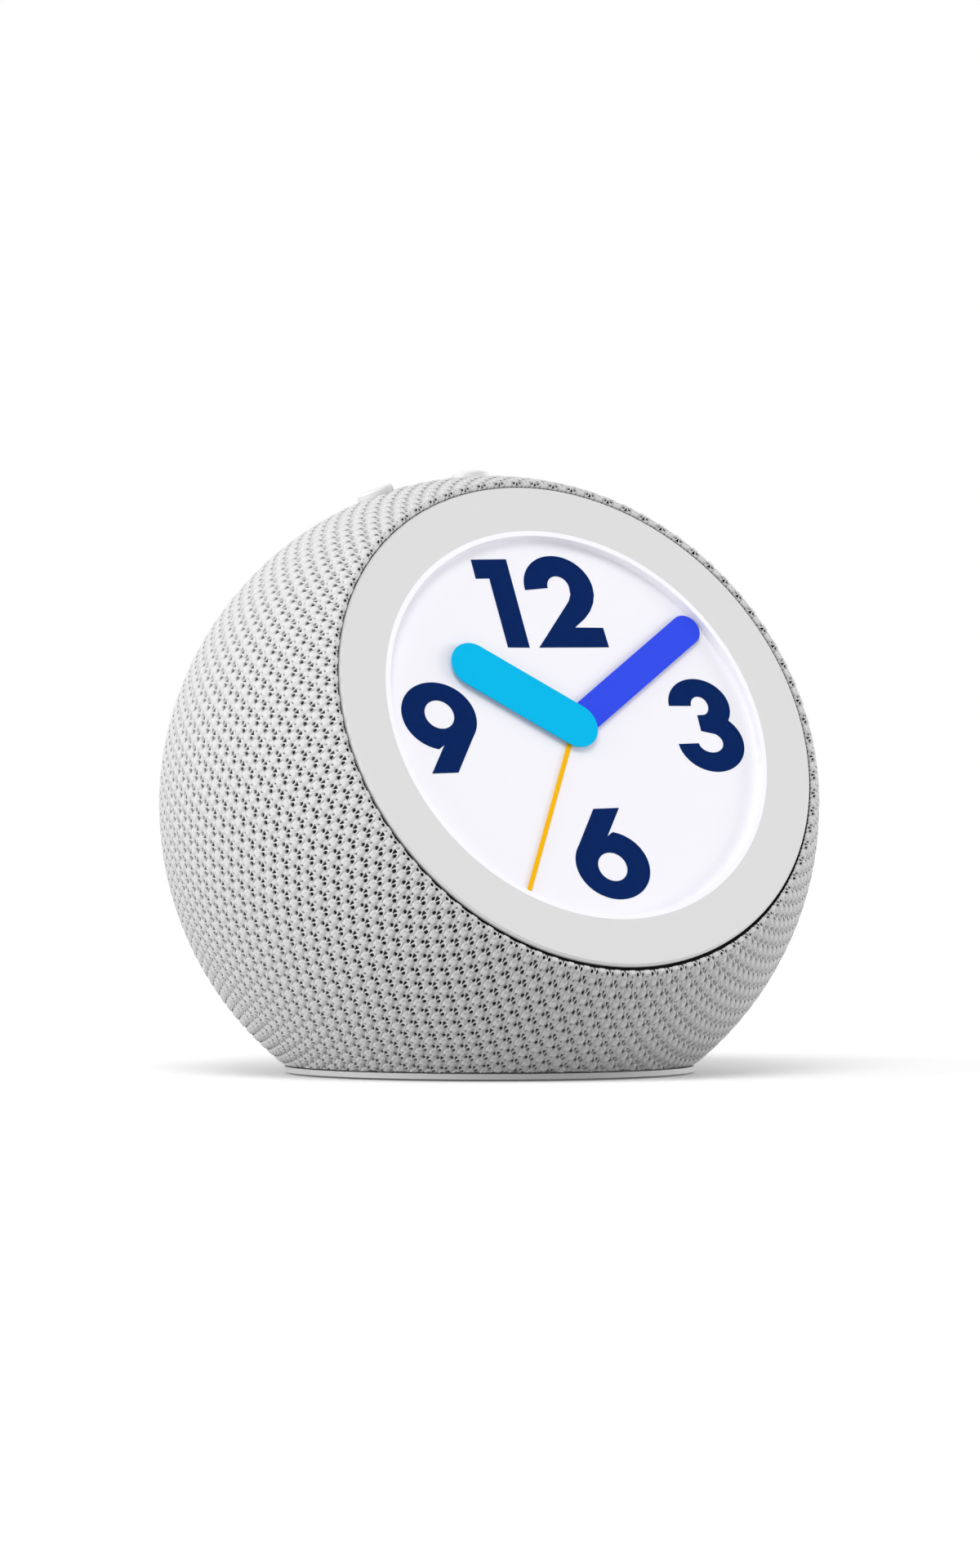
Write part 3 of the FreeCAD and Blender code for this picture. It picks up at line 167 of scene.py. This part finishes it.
finishes = {
    # moulded ABS, nylon and acetal: dull and even; the parts that show are moulded finest
    "housing_plastic": mouldedPlastic("greyAbsHousing", "#5A5A5C", 0.6, 0.5, 0.02),
    "bezel_plastic": mouldedPlastic("bezelAbs", "#D8D8D8", 0.6, 0.35, 0.004, 0.004,
                                    Specular_IOR_Level=0.25),
    "frame_plastic": mouldedPlastic("blackAbsFrame", "#303032", 0.6, 0.5, 0.02),
    "wheel_plastic": mouldedPlastic("acetalWheel", "#E9E6DC", 0.5, 0.4, 0.01),
    "movement_plastic": mouldedPlastic("movementAbs", "#3A3B3E", 0.55, 0.5, 0.02),
    "button_plastic": mouldedPlastic("buttonAbs", "#DADADA", 0.5, 0.3, 0.006, 0.01),
    "switch_black": mouldedPlastic("switchNylon", "#1E1E20", 0.5, 0.4, 0.02),
    "plunger_plastic": mouldedPlastic("plungerAcetal", "#C9C9C4", 0.45, 0.4, 0.01),
    "carrier_plastic": mouldedPlastic("carrierAbs", "#55565A", 0.55, 0.5, 0.02),
    "base_plastic": mouldedPlastic("baseAbs", "#C2C2C2", 0.55, 0.4, 0.008, 0.01),
    "jack_black": mouldedPlastic("jackNylon", "#17171A", 0.45, 0.4, 0.02),
    # the coating of the lens leaves only a weak soft reflection, so its index is low
    "lens_clear": startFinish("antiGlareAcrylic", 0.3, IOR=1.2, Alpha=0.02,
                              Base_Color=fromHex("#0C0C0C")),
    # matt enamel on the dial: a cool white with no glare
    "dial_white": mouldedPlastic("dialEnamel", "#FAF9FF", 0.7, 0.5, 0.002, 0.003,
                                 Specular_IOR_Level=0.05),
    # lacquered hands: flat, strong colours
    "hour_lacquer": mattLacquer("cyanLacquer", "#01BCEF"),
    "minute_lacquer": mattLacquer("blueLacquer", "#354FEE"),
    "second_lacquer": mattLacquer("amberLacquer", "#FBBC08"),
    # turned brass, pressed and zinc-plated steel, drawn copper: soft bright streaks
    "arbor_brass": workedMetal("turnedBrass", "#C9A24E", 0.3, 0.3),
    "basket_steel": workedMetal("pressedSteel", "#8C8F93", 0.4, 0.6),
    "plated_steel": workedMetal("zincPlate", "#B9BCC0", 0.32, 0.4),
    "coil_copper": workedMetal("coilCopper", "#B7693F", 0.35, 0.2),
    # sintered, pulped, woven and foamed stock: rough and blotched
    "ferrite": mouldedPlastic("sinteredFerrite", "#3B3A39", 0.75, 0.25, 0.03, 0.2),
    "cone_pulp": mouldedPlastic("paperPulp", "#2F2C2A", 0.9, 0.5, 0.05, 0.25),
    "spider_cloth": mouldedPlastic("spiderCloth", "#A98B57", 0.9, 0.3, 0.05, 0.2),
    "foam": mouldedPlastic("sealFoam", "#3E3E40", 0.95, 0.35, 0.08, 0.2),
    # moulded rubber: dark and dull
    "soft_rubber": mouldedPlastic("rollRubber", "#242425", 0.65, 0.4, 0.02),
    "foot_rubber": mouldedPlastic("footRubber", "#3A3A3B", 0.85, 0.5, 0.04, 0.1),
    # solder mask over the copper: a smooth green film
    "board_green": mouldedPlastic("solderMask", "#1F5C3A", 0.35, 0.8, 0.01, 0.1),
}
slotOf = {part["node"]: part["material_slot"] for part in frame["record"]["subparts"]}
for name, node in frame["nodes"].items():
    if slotOf[name] in finishes:
        node.data.materials.clear()
        node.data.materials.append(finishes[slotOf[name]])
print("finishes on the frame")

# The knit's yarn: spun polyester, soft and matt with a little fuzz, with painted shade darkening it
# down between the loops.
# Its strands run round each loop, about eight to a wale, coarser than real so that they show.
yarnLook = {
    "roughness": 0.92, "fuzz": 0.15, "fuzzRoughness": 0.6, "fibre": 0.12, "fibreDetail": 4.0,
    # painted shade: the yarn's colour by loop height, darkest down in the pits where the loops
    # shade them
    "paintedPitShade": [(0.0, "#A8A8A8"), (0.42, "#C2C2C2"), (0.7, "#D6D6D6"), (1.0, "#DADADA")],
    "flecks": [(0.3, "#E6E6E6"), (0.7, "#FFFFFF")],
    "loopPlace": (-1.8, -1.3, 0), "loopScale": (3.6, 3.3, 0), "strand": 0.24,
    "strandHeight": 0.22, "relief": 0.6, "reliefDepth": 0.07,
}


def spunYarn(name):
    material = startFinish(name, yarnLook["roughness"], Sheen_Weight=yarnLook["fuzz"],
                           Sheen_Roughness=yarnLook["fuzzRoughness"])
    tree = material.node_tree
    shader = tree.nodes["Principled BSDF"]
    paintedPitShade, flecks = ([(place, fromHex(code)) for place, code in yarnLook[stops]]
                      for stops in ("paintedPitShade", "flecks"))
    depth = addNode(tree, "ShaderNodeAttribute", {"attribute_name": "loopHeight"})
    # painted shade: the loop height darkens the yarn's colour down in the pits
    shade = addNode(tree, "ShaderNodeValToRGB", links={"Fac": depth.outputs["Fac"]}, stops=paintedPitShade)
    point = addNode(tree, "ShaderNodeTexCoord")
    fibres = addNode(tree, "ShaderNodeTexNoise", links={"Vector": point.outputs["Object"]},
                     values={"Scale": 1 / (yarnLook["fibre"] * mm),
                             "Detail": yarnLook["fibreDetail"]})
    fleck = addNode(tree, "ShaderNodeValToRGB", links={"Fac": fibres.outputs["Fac"]}, stops=flecks)
    mixed = addNode(tree, "ShaderNodeMix", {"data_type": "RGBA", "blend_type": "MULTIPLY"},
                    {"Factor": 1.0}, {"A": shade.outputs["Color"], "B": fleck.outputs["Color"]})
    spot = addNode(tree, "ShaderNodeUVMap", {"uv_map": "UVMap"})
    local = addNode(tree, "ShaderNodeMapping", {"vector_type": "POINT"},
                    {"Location": yarnLook["loopPlace"], "Scale": yarnLook["loopScale"]},
                    {"Vector": spot.outputs["UV"]})
    reach = addNode(tree, "ShaderNodeVectorMath", {"operation": "LENGTH"},
                    links={0: local.outputs[0]})
    turns = addNode(tree, "ShaderNodeMath", {"operation": "MULTIPLY"},
                    {1: 2 * math.pi / yarnLook["strand"]}, {0: reach.outputs["Value"]})
    strands = addNode(tree, "ShaderNodeMath", {"operation": "SINE"}, links={0: turns.outputs[0]})
    height = addNode(tree, "ShaderNodeMath", {"operation": "MULTIPLY_ADD"},
                     {1: yarnLook["strandHeight"]},
                     {0: strands.outputs[0], 2: fibres.outputs["Fac"]})
    bump = addNode(tree, "ShaderNodeBump", links={"Height": height.outputs[0]},
                   values={"Strength": yarnLook["relief"],
                           "Distance": yarnLook["reliefDepth"] * mm})
    tree.links.new(mixed.outputs["Result"], shader.inputs["Base Color"])
    tree.links.new(bump.outputs["Normal"], shader.inputs["Normal"])
    return material


yarn = spunYarn("polyesterKnit")

# One stitch is an egg-shaped loop. Its two thin legs cross three openings above it and two beads
# of yarn lie below it. Across is counted in wale pairs and along in courses, from the middle of
# the stitch; each row holds three places from the outside in, then four heights in mm.
stitch = {
    "across": 7, "along": 10, "wall": 0.34,
    "edge": 0.25, "edgeWave": 0.038, "edgePhase": 0.1,
    "rows": [
        (-0.50, (0.180, 0.130, 0.040), (0.02, 0.02, 0.04, -0.04)),
        (-0.43, (0.170, 0.115, 0.032), (-0.02, -0.02, 0.18, -0.08)),
        (-0.34, (0.160, 0.085, 0.026), (-0.05, -0.14, 0.02, -0.20)),
        (-0.25, (0.195, 0.130, 0.045), (-0.07, -0.09, 0.15, 0.18)),
        (-0.10, (0.210, 0.155, 0.050), (-0.05, -0.10, 0.17, 0.17)),
        (0.02, (0.180, 0.115, 0.022), (-0.02, -0.12, 0.18, -0.08)),
        (0.095, (0.185, 0.095, 0.022), (-0.02, -0.14, -0.02, 0.12)),
        (0.19, (0.262, 0.072, 0.020), (0.02, -0.06, -0.04, 0.04)),
        (0.325, (0.212, 0.112, 0.070), (0.02, -0.08, -0.02, -0.02)),
        (0.45, (0.165, 0.140, 0.108), (0.04, 0.00, 0.02, -0.06)),
        (0.50, (0.180, 0.130, 0.040), (0.02, 0.02, 0.04, -0.04)),
    ],
    "openings": [(1, 6), (1, 7), (5, 6), (5, 7), (3, 7), (3, 8), (3, 1)],  # faces across, along
    # the two wales of a pair differ a little: how wide the middle and the outer openings are
    "wales": [{"middle": 0.8, "outer": 1.02}, {"middle": 1.0, "outer": 0.94}],
    "middleRows": (8, 9), "outerRows": (6, 7, 8), "sagRows": (6, 7), "sag": 0.03,
}


# a grid shaped into one stitch, with its openings cut down through the yarn
def makeStitch(name, wale):
    columns, rows = stitch["across"], stitch["along"]
    bpy.ops.mesh.primitive_grid_add(x_subdivisions=columns, y_subdivisions=rows, size=1)
    tile = bpy.context.active_object
    tile.name = name
    for vertex in tile.data.vertices:
        i = round((vertex.co.x + 0.5) * columns)
        j = round((vertex.co.y + 0.5) * rows)
        side = -1 if i < columns / 2 else 1
        inwards = i if side < 0 else columns - i
        t, places, heights = stitch["rows"][j]
        if inwards == 0:
            t = vertex.co.y
            wave = math.cos(2 * math.pi * (t - stitch["edgePhase"]))
            s = stitch["edge"] + stitch["edgeWave"] * wave
        else:
            s = places[inwards - 1]
            if inwards == 3 and j in stitch["middleRows"]:
                s *= wale["middle"]
            if inwards == 1 and j in stitch["outerRows"]:
                s *= wale["outer"]
            if inwards == 1 and j in stitch["sagRows"] and side > 0:
                t -= stitch["sag"]
        vertex.co = (side * s, t, heights[inwards])
        vertex.select = False
    uv = tile.data.uv_layers.active
    for loop in tile.data.loops:
        place = tile.data.vertices[loop.vertex_index].co
        uv.data[loop.index].uv = (place.x + 0.5, place.y + 0.5)
    for edge in tile.data.edges:
        edge.select = False
    for face in tile.data.polygons:
        face.select = (face.index % columns, face.index // columns) in stitch["openings"]
    pick(tile)
    bpy.context.tool_settings.mesh_select_mode = (False, False, True)
    bpy.ops.object.mode_set(mode="EDIT")
    bpy.ops.mesh.extrude_region_move(TRANSFORM_OT_translate={"value": (0, 0, -stitch["wall"])})
    bpy.ops.mesh.delete(type="FACE")
    bpy.ops.object.mode_set(mode="OBJECT")
    return tile


# flat rows of stitches: two wales side by side, the second half a course further on
def repeatStitches(name, pairs, courses):
    first, second = (makeStitch(name + ending, wale)
                     for ending, wale in zip(("", "Second"), stitch["wales"]))
    for vertex in second.data.vertices:
        vertex.co.x += 0.5
        vertex.co.y += 0.5
    pick(first)
    second.select_set(True)
    bpy.ops.object.join()
    for count, step in ((pairs, (1, 0, 0)), (courses, (0, 1, 0))):
        array = first.modifiers.new("repeat", "ARRAY")
        array.count = count
        array.use_relative_offset = False
        array.use_constant_offset = True
        array.constant_offset_displace = step
        bpy.ops.object.modifier_apply(modifier=array.name)
    return first


# The cover follows the dial's axis, in millimetres and degrees from it. Four panels make the band
# from the roll beside the bezel to the back seam, and rings with fewer wales close the back.
knit = {
    "base": 49.68, "heightLow": -0.5, "heightHigh": 0.2, "footEdge": 1.35, "weld": 0.00001,
    "panels": 4, "walePairs": 84, "courses": 24, "seamAngle": 133.0,
    "rollRadius": 0.5, "rollCentre": 40.0, "rollShift": 0.2, "rollLoops": 0.6,
    # wales bunch and courses stretch below the dial
    "sparePairs": 80.0, "bunching": 20.0, "bunchWidth": 36.0, "bunchSteps": 2001,
    "stretch": 0.38, "stretchWidth": 32.0,
    # each ring of the back: from and to this angle, wale pairs, courses
    "backRings": [(133.0, 148.0, 60, 4), (148.0, 161.0, 42, 4), (161.0, 173.5, 26, 4)],
    "buttonSpread": 19.3, "buttonLean": 6.6, "buttonHole": 3.05,
    "inletHeight": 15.1, "inletHole": 6.5,
    # the cut cloth: cut over for its seams, on a piece a tenth wider than its mean width
    "seamAllowance": 1.03, "cutWidth": 1.1,
}
linkYarn = {"halfWidth": 1.0, "halfThickness": 0.42, "sink": 0.12, "twist": 0.12, "twists": 60,
            "steps": 240, "sides": 10}


def vertexArray(thing):
    flat = np.empty(len(thing.data.vertices) * 3)
    thing.data.vertices.foreach_get("co", flat)
    return flat.reshape(-1, 3)


def setVertices(thing, points):
    thing.data.vertices.foreach_set("co", np.asarray(points, dtype=np.float64).ravel())
    thing.data.update()


# how high each point of the yarn lies, from 0 in the pits to 1 on the loops; the yarn's painted
# shade in the pits is read from it
def keepHeights(thing, heights):
    spread = (heights - knit["heightLow"]) / (knit["heightHigh"] - knit["heightLow"])
    layer = thing.data.attributes.new("loopHeight", "FLOAT", "POINT")
    layer.data.foreach_set("value", np.clip(spread, 0, 1))


# a point by its distance from the dial's axis, its height along it, and its turn from below
def dialPoint(radius, along, turn):
    right, up, out, middle = (np.array(a) for a in (dialRight, dialUp, dialOut, centre))
    sideways = np.outer(radius * np.sin(turn), right) - np.outer(radius * np.cos(turn), up)
    return (middle + np.outer(along, out) + sideways) * mm


# flat stitches wrapped round the dial's axis, from the roll beside the bezel to the back seam
def wrapBand(points, firstPair):
    x, y, height = points.T
    turns = np.linspace(-180, 180, knit["bunchSteps"])
    bunched = knit["bunching"] * knit["bunchWidth"] * np.tanh(turns / knit["bunchWidth"])
    sums = (knit["sparePairs"] * turns + bunched) / 360
    half = knit["walePairs"] / 2
    pairAt = x + stitch["edge"] + firstPair - half
    turn = np.radians(np.interp(pairAt, sums * half / sums[-1], turns))
    base, roll = knit["base"], knit["rollRadius"]
    rollCentre = knit["rollCentre"] + knit["rollShift"] * np.cos(turn)
    startAngle = np.arcsin(rollCentre / (base - roll))
    rollLength = roll * (math.pi / 2 + startAngle)
    whole = rollLength + base * (math.radians(knit["seamAngle"]) - startAngle)
    share = 1 - (y + 0.5) / knit["courses"]
    stretch = knit["stretch"] / np.cosh(np.degrees(turn) / knit["stretchWidth"]) ** 2
    length = whole * (share + stretch * share * (1 - share))
    onRoll = length < rollLength
    rollAngle = length / roll - math.pi / 2
    ballAngle = startAngle + (length - rollLength) / base
    angle = np.where(onRoll, rollAngle, ballAngle)
    reach = np.where(onRoll, roll, base) + height * np.where(onRoll, knit["rollLoops"], 1)
    rollAt = base - roll
    radius = reach * np.sin(angle) + np.where(onRoll, rollAt * np.sin(startAngle), 0)
    along = reach * np.cos(angle) + np.where(onRoll, rollAt * np.cos(startAngle), 0)
    return dialPoint(radius, along, turn)


# points on the back, by a share of a turn, a height and an angle; the axis leans to the inlet
def wrapBack(shares, height, degrees):
    middle = np.array(centre)
    turn = 2 * math.pi * shares + math.pi
    way = dialPoint(np.sin(np.radians(degrees)), np.cos(np.radians(degrees)), turn) / mm - middle
    drop = knit["inletHeight"] - ball["centreHeight"]
    inlet = np.array((0, math.sqrt(ball["radius"] ** 2 - drop ** 2), drop)) / ball["radius"]
    lastAngle = knit["backRings"][-1][1]
    share = np.clip((degrees - knit["seamAngle"]) / (lastAngle - knit["seamAngle"]), 0, 1)
    way += share[:, None] * (inlet + np.array(dialOut))
    way /= np.linalg.norm(way, axis=1)[:, None]
    return (middle + way * (knit["base"] + height)[:, None]) * mm


# the openings for the buttons and the inlet: a point on each axis, its direction, its radius
def holeList():
    holes = []
    for turn in (-1, 0, 1):
        lean = Matrix.Rotation(math.radians(turn * knit["buttonSpread"]), 3, "Y")
        lean = lean @ Matrix.Rotation(-math.radians(knit["buttonLean"]), 3, "X")
        holes.append((centre, lean @ Vector((0, 0, 1)), knit["buttonHole"]))
    holes.append((Vector((0, 0, knit["inletHeight"])), Vector((0, 1, 0)), knit["inletHole"]))
    return holes


# the knit inside each opening goes, and its cut edge lies along the opening's rim
def openHoles(thing):
    points = vertexArray(thing) / mm
    inside = np.zeros(len(points), dtype=bool)
    for start, direction, radius in holeList():
        off = points - np.array(start)
        along = off @ np.array(direction)
        across = off - np.outer(along, np.array(direction))
        distance = np.linalg.norm(across, axis=1)
        near = (distance < radius) & (along > 0)
        inside |= near
        push = np.where(near, radius / np.maximum(distance, 0.01), 1)
        points += across * (push - 1)[:, None]
    if inside.any():
        for face in thing.data.polygons:
            face.select = all(inside[v] for v in face.vertices)
        setVertices(thing, points * mm)
        pick(thing)
        bpy.ops.object.mode_set(mode="EDIT")
        bpy.ops.mesh.delete(type="FACE")
        bpy.ops.object.mode_set(mode="OBJECT")


def joinCover(thing):
    pick(thing)
    bpy.ops.object.shade_smooth()
    thing.data.materials.append(yarn)
    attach(thing, "case")
    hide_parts("knit_cover")


def finishPanel(panel, heights):
    keepHeights(panel, heights)
    openHoles(panel)
    cleanMesh(panel, knit["weld"], knit["footEdge"])
    joinCover(panel)


def makeBand(index):
    pairs = knit["walePairs"] // knit["panels"]
    band = repeatStitches("knit_band_%d" % (index + 1), pairs, knit["courses"])
    flat = vertexArray(band)
    setVertices(band, wrapBand(flat, index * pairs))
    finishPanel(band, flat[:, 2])
    return band


def makeBackRing(index):
    fromAngle, toAngle, pairs, courses = knit["backRings"][index]
    ring = repeatStitches("knit_back_%d" % (index + 1), pairs, courses)
    flat = vertexArray(ring)
    degrees = toAngle + (flat[:, 1] + 0.5) / courses * (fromAngle - toAngle)
    setVertices(ring, wrapBack(flat[:, 0] / pairs, flat[:, 2], degrees))
    finishPanel(ring, flat[:, 2])
    return ring


# the flat linking yarn that closes the seam between two rings of the knit
def makeSeam(index):
    tube = 0.1
    bpy.ops.mesh.primitive_torus_add(major_radius=1, minor_radius=tube,
                                     major_segments=linkYarn["steps"],
                                     minor_segments=linkYarn["sides"])
    seam = bpy.context.active_object
    seam.name = "knit_seam_%d" % (index + 1)
    flat = vertexArray(seam)
    turn = np.arctan2(flat[:, 1], flat[:, 0])
    outward = (np.hypot(flat[:, 0], flat[:, 1]) - 1) / tube
    outward += linkYarn["twist"] * np.sin(turn * linkYarn["twists"])
    height = linkYarn["halfThickness"] * flat[:, 2] / tube
    lean = np.degrees(linkYarn["halfWidth"] * outward / knit["base"])
    degrees = knit["backRings"][index][0] + lean
    setVertices(seam, wrapBack(turn / (2 * math.pi), height - linkYarn["sink"], degrees))
    keepHeights(seam, height)
    cleanMesh(seam, footEdge=knit["footEdge"])
    joinCover(seam)


panels = [makeBand(index) for index in range(knit["panels"])]
panels += [makeBackRing(index) for index in range(len(knit["backRings"]))]
for index in range(len(knit["backRings"])):
    makeSeam(index)
print("knit panels, faces:", [len(panel.data.polygons) for panel in panels])

# The dial's thin print, and two rings about its axis by inner and outer radius, low and high: the
# white border closes the gap from the lens to the bezel, the foam the one from bezel to knit.
dial = {
    "printHeight": 27.655, "printThickness": 0.03, "printShift": (0.55, 0.4),
    "printWeld": 0.000001, "border": (30.98, 31.9, 28.72, 29.17),
    "gasket": (39.22, 40.3, 27.95, 28.5), "ringSides": 192, "sharpFrom": 40,
}


# points along an upright ellipse, by its middle, its half sizes and its angles in degrees
def arc(x, y, across, upwards, fromAngle, toAngle, steps):
    turns = [math.radians(fromAngle + (toAngle - fromAngle) * k / steps) for k in range(steps + 1)]
    return [(x + across * math.cos(t), y + upwards * math.sin(t)) for t in turns]


# a round bowl with a straight leg cut flat at its top; turned over, the six is the nine
def sixOutlines(x, y, turned):
    bowl = arc(0, -2.1, 6.25, 5.5, 147, 438, 48)
    outer = [(-1.05, 7.05), (3.4, 7.2), (0.25, 2.6)] + bowl[::-1] + [(-5.0, 1.2)]
    counter = arc(-0.1, -2.35, 2.45, 2.3, 0, 360, 32)[:-1]
    turn = -1 if turned else 1
    return [[(x + turn * px, y + turn * py) for px, py in line] for line in (outer, counter)]


# outlines in mm across and up from the dial's middle
numerals = {
    "one": [[(-11.42, 27.17), (-5.33, 27.33), (-4.83, 12.67), (-8.58, 12.67), (-9.0, 24.08),
             (-11.33, 24.0)]],
    "two": [arc(2.65, 22.6, 5.93, 5.4, 184, 3, 30)
            + [(8.5, 21.6), (8.0, 20.2), (7.15, 18.85), (5.9, 17.6), (3.85, 16.1), (8.7, 16.1),
               (8.92, 12.85), (-3.2, 12.7), (2.6, 19.1), (3.85, 20.5), (4.4, 21.6)]
            + arc(2.6, 22.75, 1.87, 1.85, 0, 184, 18)],
    "three": [arc(22.2, 3.2, 5.3, 4.5, 180, -32, 26) + arc(22.7, -2.75, 5.75, 4.95, 56, -176, 30)
              + arc(22.65, -2.85, 2.15, 1.65, 184, 420, 20) + [(21.45, -0.95), (21.45, 1.65)]
              + arc(22.25, 3.2, 1.5, 1.55, -70, 180, 18)],
    "six": sixOutlines(0.5, -20.75, False),
    "nine": sixOutlines(-23.05, -0.75, True),
}


# a filled outline, pressed thin and laid on the dial
def makeNumeral(name, outlines):
    data = bpy.data.curves.new(name, "CURVE")
    data.dimensions = "2D"
    data.fill_mode = "BOTH"
    data.extrude = dial["printThickness"] / 2
    right, up = dial["printShift"]
    for outline in outlines:
        spline = data.splines.new("POLY")
        spline.points.add(len(outline) - 1)
        for point, (x, y) in zip(spline.points, outline):
            point.co = (x + right, y + up, 0, 1)
        spline.use_cyclic_u = True
    numeral = bpy.data.objects.new("numeral_" + name, data)
    bpy.context.scene.collection.objects.link(numeral)
    pick(numeral)
    bpy.ops.object.convert(target="MESH")
    numeral = bpy.context.active_object
    layOnDial(numeral, dial["printHeight"] + dial["printThickness"] / 2)
    cleanMesh(numeral, dial["printWeld"])
    numeral.data.materials.append(navyInk)
    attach(numeral, "case")


def makeRing(name, inner, outer, low, high, finish):
    bpy.ops.mesh.primitive_circle_add(vertices=dial["ringSides"], radius=inner)
    ring = bpy.context.active_object
    ring.name = name
    bpy.ops.object.mode_set(mode="EDIT")
    bpy.ops.mesh.select_all(action="SELECT")
    bpy.ops.mesh.extrude_edges_move(TRANSFORM_OT_translate={"value": (0, 0, 0)})
    bpy.ops.transform.resize(value=(outer / inner, outer / inner, 1))
    bpy.ops.mesh.select_all(action="SELECT")
    bpy.ops.mesh.extrude_region_move(TRANSFORM_OT_translate={"value": (0, 0, high - low)})
    cleanMesh(ring)
    layOnDial(ring, low)
    bpy.ops.object.shade_smooth_by_angle(angle=math.radians(dial["sharpFrom"]))
    ring.data.materials.append(finish)
    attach(ring, "case")


navyInk = mattLacquer("navyInk", "#00235D")  # screen print: flat and dark
# cut closed-cell foam: black, hardly any shine
gasketFoam = mouldedPlastic("gasketFoam", "#0B0B0B", 0.95, 0.35, 0.05, 0.2, Specular_IOR_Level=0.1)
for name, outlines in numerals.items():
    makeNumeral(name, outlines)
makeRing("dial_border", *dial["border"], finishes["dial_white"])
makeRing("bezel_gasket", *dial["gasket"], gasketFoam)
print("dial printed and sealed")

# a long lens from the front left, level with the clock
view = {"azimuth": -30.0, "elevation": 0.15, "distance": 1100.0, "lens": 167.2, "sensor": 36.0,
        "sideways": 0.12, "upwards": 3.31, "nearest": 0.01, "furthest": 20}


def placeCamera():
    azimuth, elevation = math.radians(view["azimuth"]), math.radians(view["elevation"])
    back = Vector((math.sin(azimuth) * math.cos(elevation),
                   -math.cos(azimuth) * math.cos(elevation), math.sin(elevation)))
    right = Vector((math.cos(azimuth), math.sin(azimuth), 0))
    up = back.cross(right)
    place = centre + back * view["distance"] + right * view["sideways"] + up * view["upwards"]
    data = bpy.data.cameras.new("camera")
    data.lens = view["lens"]
    data.sensor_fit = "VERTICAL"
    data.sensor_height = view["sensor"]
    data.clip_start, data.clip_end = view["nearest"], view["furthest"]
    camera = bpy.data.objects.new("camera", data)
    bpy.context.scene.collection.objects.link(camera)
    turn = Matrix((right, up, back)).transposed().to_4x4()
    camera.matrix_world = Matrix.Translation(place * mm) @ turn
    bpy.context.scene.camera = camera


placeCamera()
print("camera placed")

# a white room with soft lamps, each by its place and size in metres and its power in watts
studio = {
    "room": 0.58, "floorSize": 12, "floorGlow": 0.1, "floorWhite": 0.95, "floorBounce": 0.66,
    "fadeFrom": 0.12, "fadeTo": 0.6,
    "lamps": [
        ("keyLamp", (-1.0, -1.4, 2.5), 1.8, 36.0),
        ("leftLamp", (-2.4, 0.4, 0.6), 1.6, 42.0),
        ("rightLamp", (2.1, -0.9, 0.1), 1.2, 28.0),
        ("rimLamp", (2.3, 0.5, 0.2), 1.0, 14.0),
    ],
}


def softLamp(name, place, size, power):
    data = bpy.data.lights.new(name, "AREA")
    data.shape = "DISK"
    data.size = size
    data.energy = power
    lamp = bpy.data.objects.new(name, data)
    bpy.context.scene.collection.objects.link(lamp)
    lamp.location = place
    lamp.rotation_euler = (centre * mm - Vector(place)).to_track_quat("-Z", "Y").to_euler()


# white seamless paper: it keeps the clock's shadow and fades to the white room further off
def paleFloor():
    material = bpy.data.materials.new("paleFloor")
    material.use_nodes = True
    tree = material.node_tree
    tree.nodes.clear()
    path = addNode(tree, "ShaderNodeLightPath")
    white, bounce = ((studio[shade],) * 3 + (1.0,) for shade in ("floorWhite", "floorBounce"))
    paper = addNode(tree, "ShaderNodeMix", {"data_type": "RGBA"}, {"A": bounce, "B": white},
                    {"Factor": path.outputs["Is Camera Ray"]})
    matt = addNode(tree, "ShaderNodeBsdfDiffuse", links={"Color": paper.outputs["Result"]})
    point = addNode(tree, "ShaderNodeTexCoord")
    distance = addNode(tree, "ShaderNodeVectorMath", {"operation": "LENGTH"},
                       links={0: point.outputs["Object"]})
    fade = addNode(tree, "ShaderNodeMapRange", links={"Value": distance.outputs["Value"]},
                   values={"From Min": studio["fadeFrom"], "From Max": studio["fadeTo"],
                           "To Min": studio["floorGlow"], "To Max": 1.0})
    seen = addNode(tree, "ShaderNodeMath", {"operation": "MULTIPLY"},
                   links={0: path.outputs["Is Camera Ray"], 1: fade.outputs["Result"]})
    glow = addNode(tree, "ShaderNodeEmission", values={"Color": (1, 1, 1, 1)},
                   links={"Strength": seen.outputs[0]})
    both = addNode(tree, "ShaderNodeAddShader", links={0: matt.outputs[0], 1: glow.outputs[0]})
    addNode(tree, "ShaderNodeOutputMaterial", links={"Surface": both.outputs[0]})
    return material


# the room lights the clock softly, and is plain white to the camera, in gloss and through glass
def whiteRoom():
    world = bpy.data.worlds.new("whiteRoom")
    bpy.context.scene.world = world
    world.use_nodes = True
    tree = world.node_tree
    path = addNode(tree, "ShaderNodeLightPath")
    seen = path.outputs["Is Camera Ray"]
    for ray in ("Is Glossy Ray", "Is Transmission Ray"):
        seen = addNode(tree, "ShaderNodeMath", {"operation": "MAXIMUM"},
                       links={0: seen, 1: path.outputs[ray]}).outputs[0]
    strength = addNode(tree, "ShaderNodeMapRange", links={"Value": seen},
                       values={"To Min": studio["room"], "To Max": 1.0})
    background = tree.nodes["Background"]
    background.inputs["Color"].default_value = (1, 1, 1, 1)
    tree.links.new(strength.outputs["Result"], background.inputs["Strength"])


def makeStudio():
    for lamp in studio["lamps"]:
        softLamp(*lamp)
    whiteRoom()
    bpy.ops.mesh.primitive_plane_add(size=studio["floorSize"])
    floor = bpy.context.active_object
    floor.name = "floor"
    floor.data.materials.append(paleFloor())


makeStudio()
bpy.context.scene.view_settings.view_transform = "Standard"
print("studio ready")
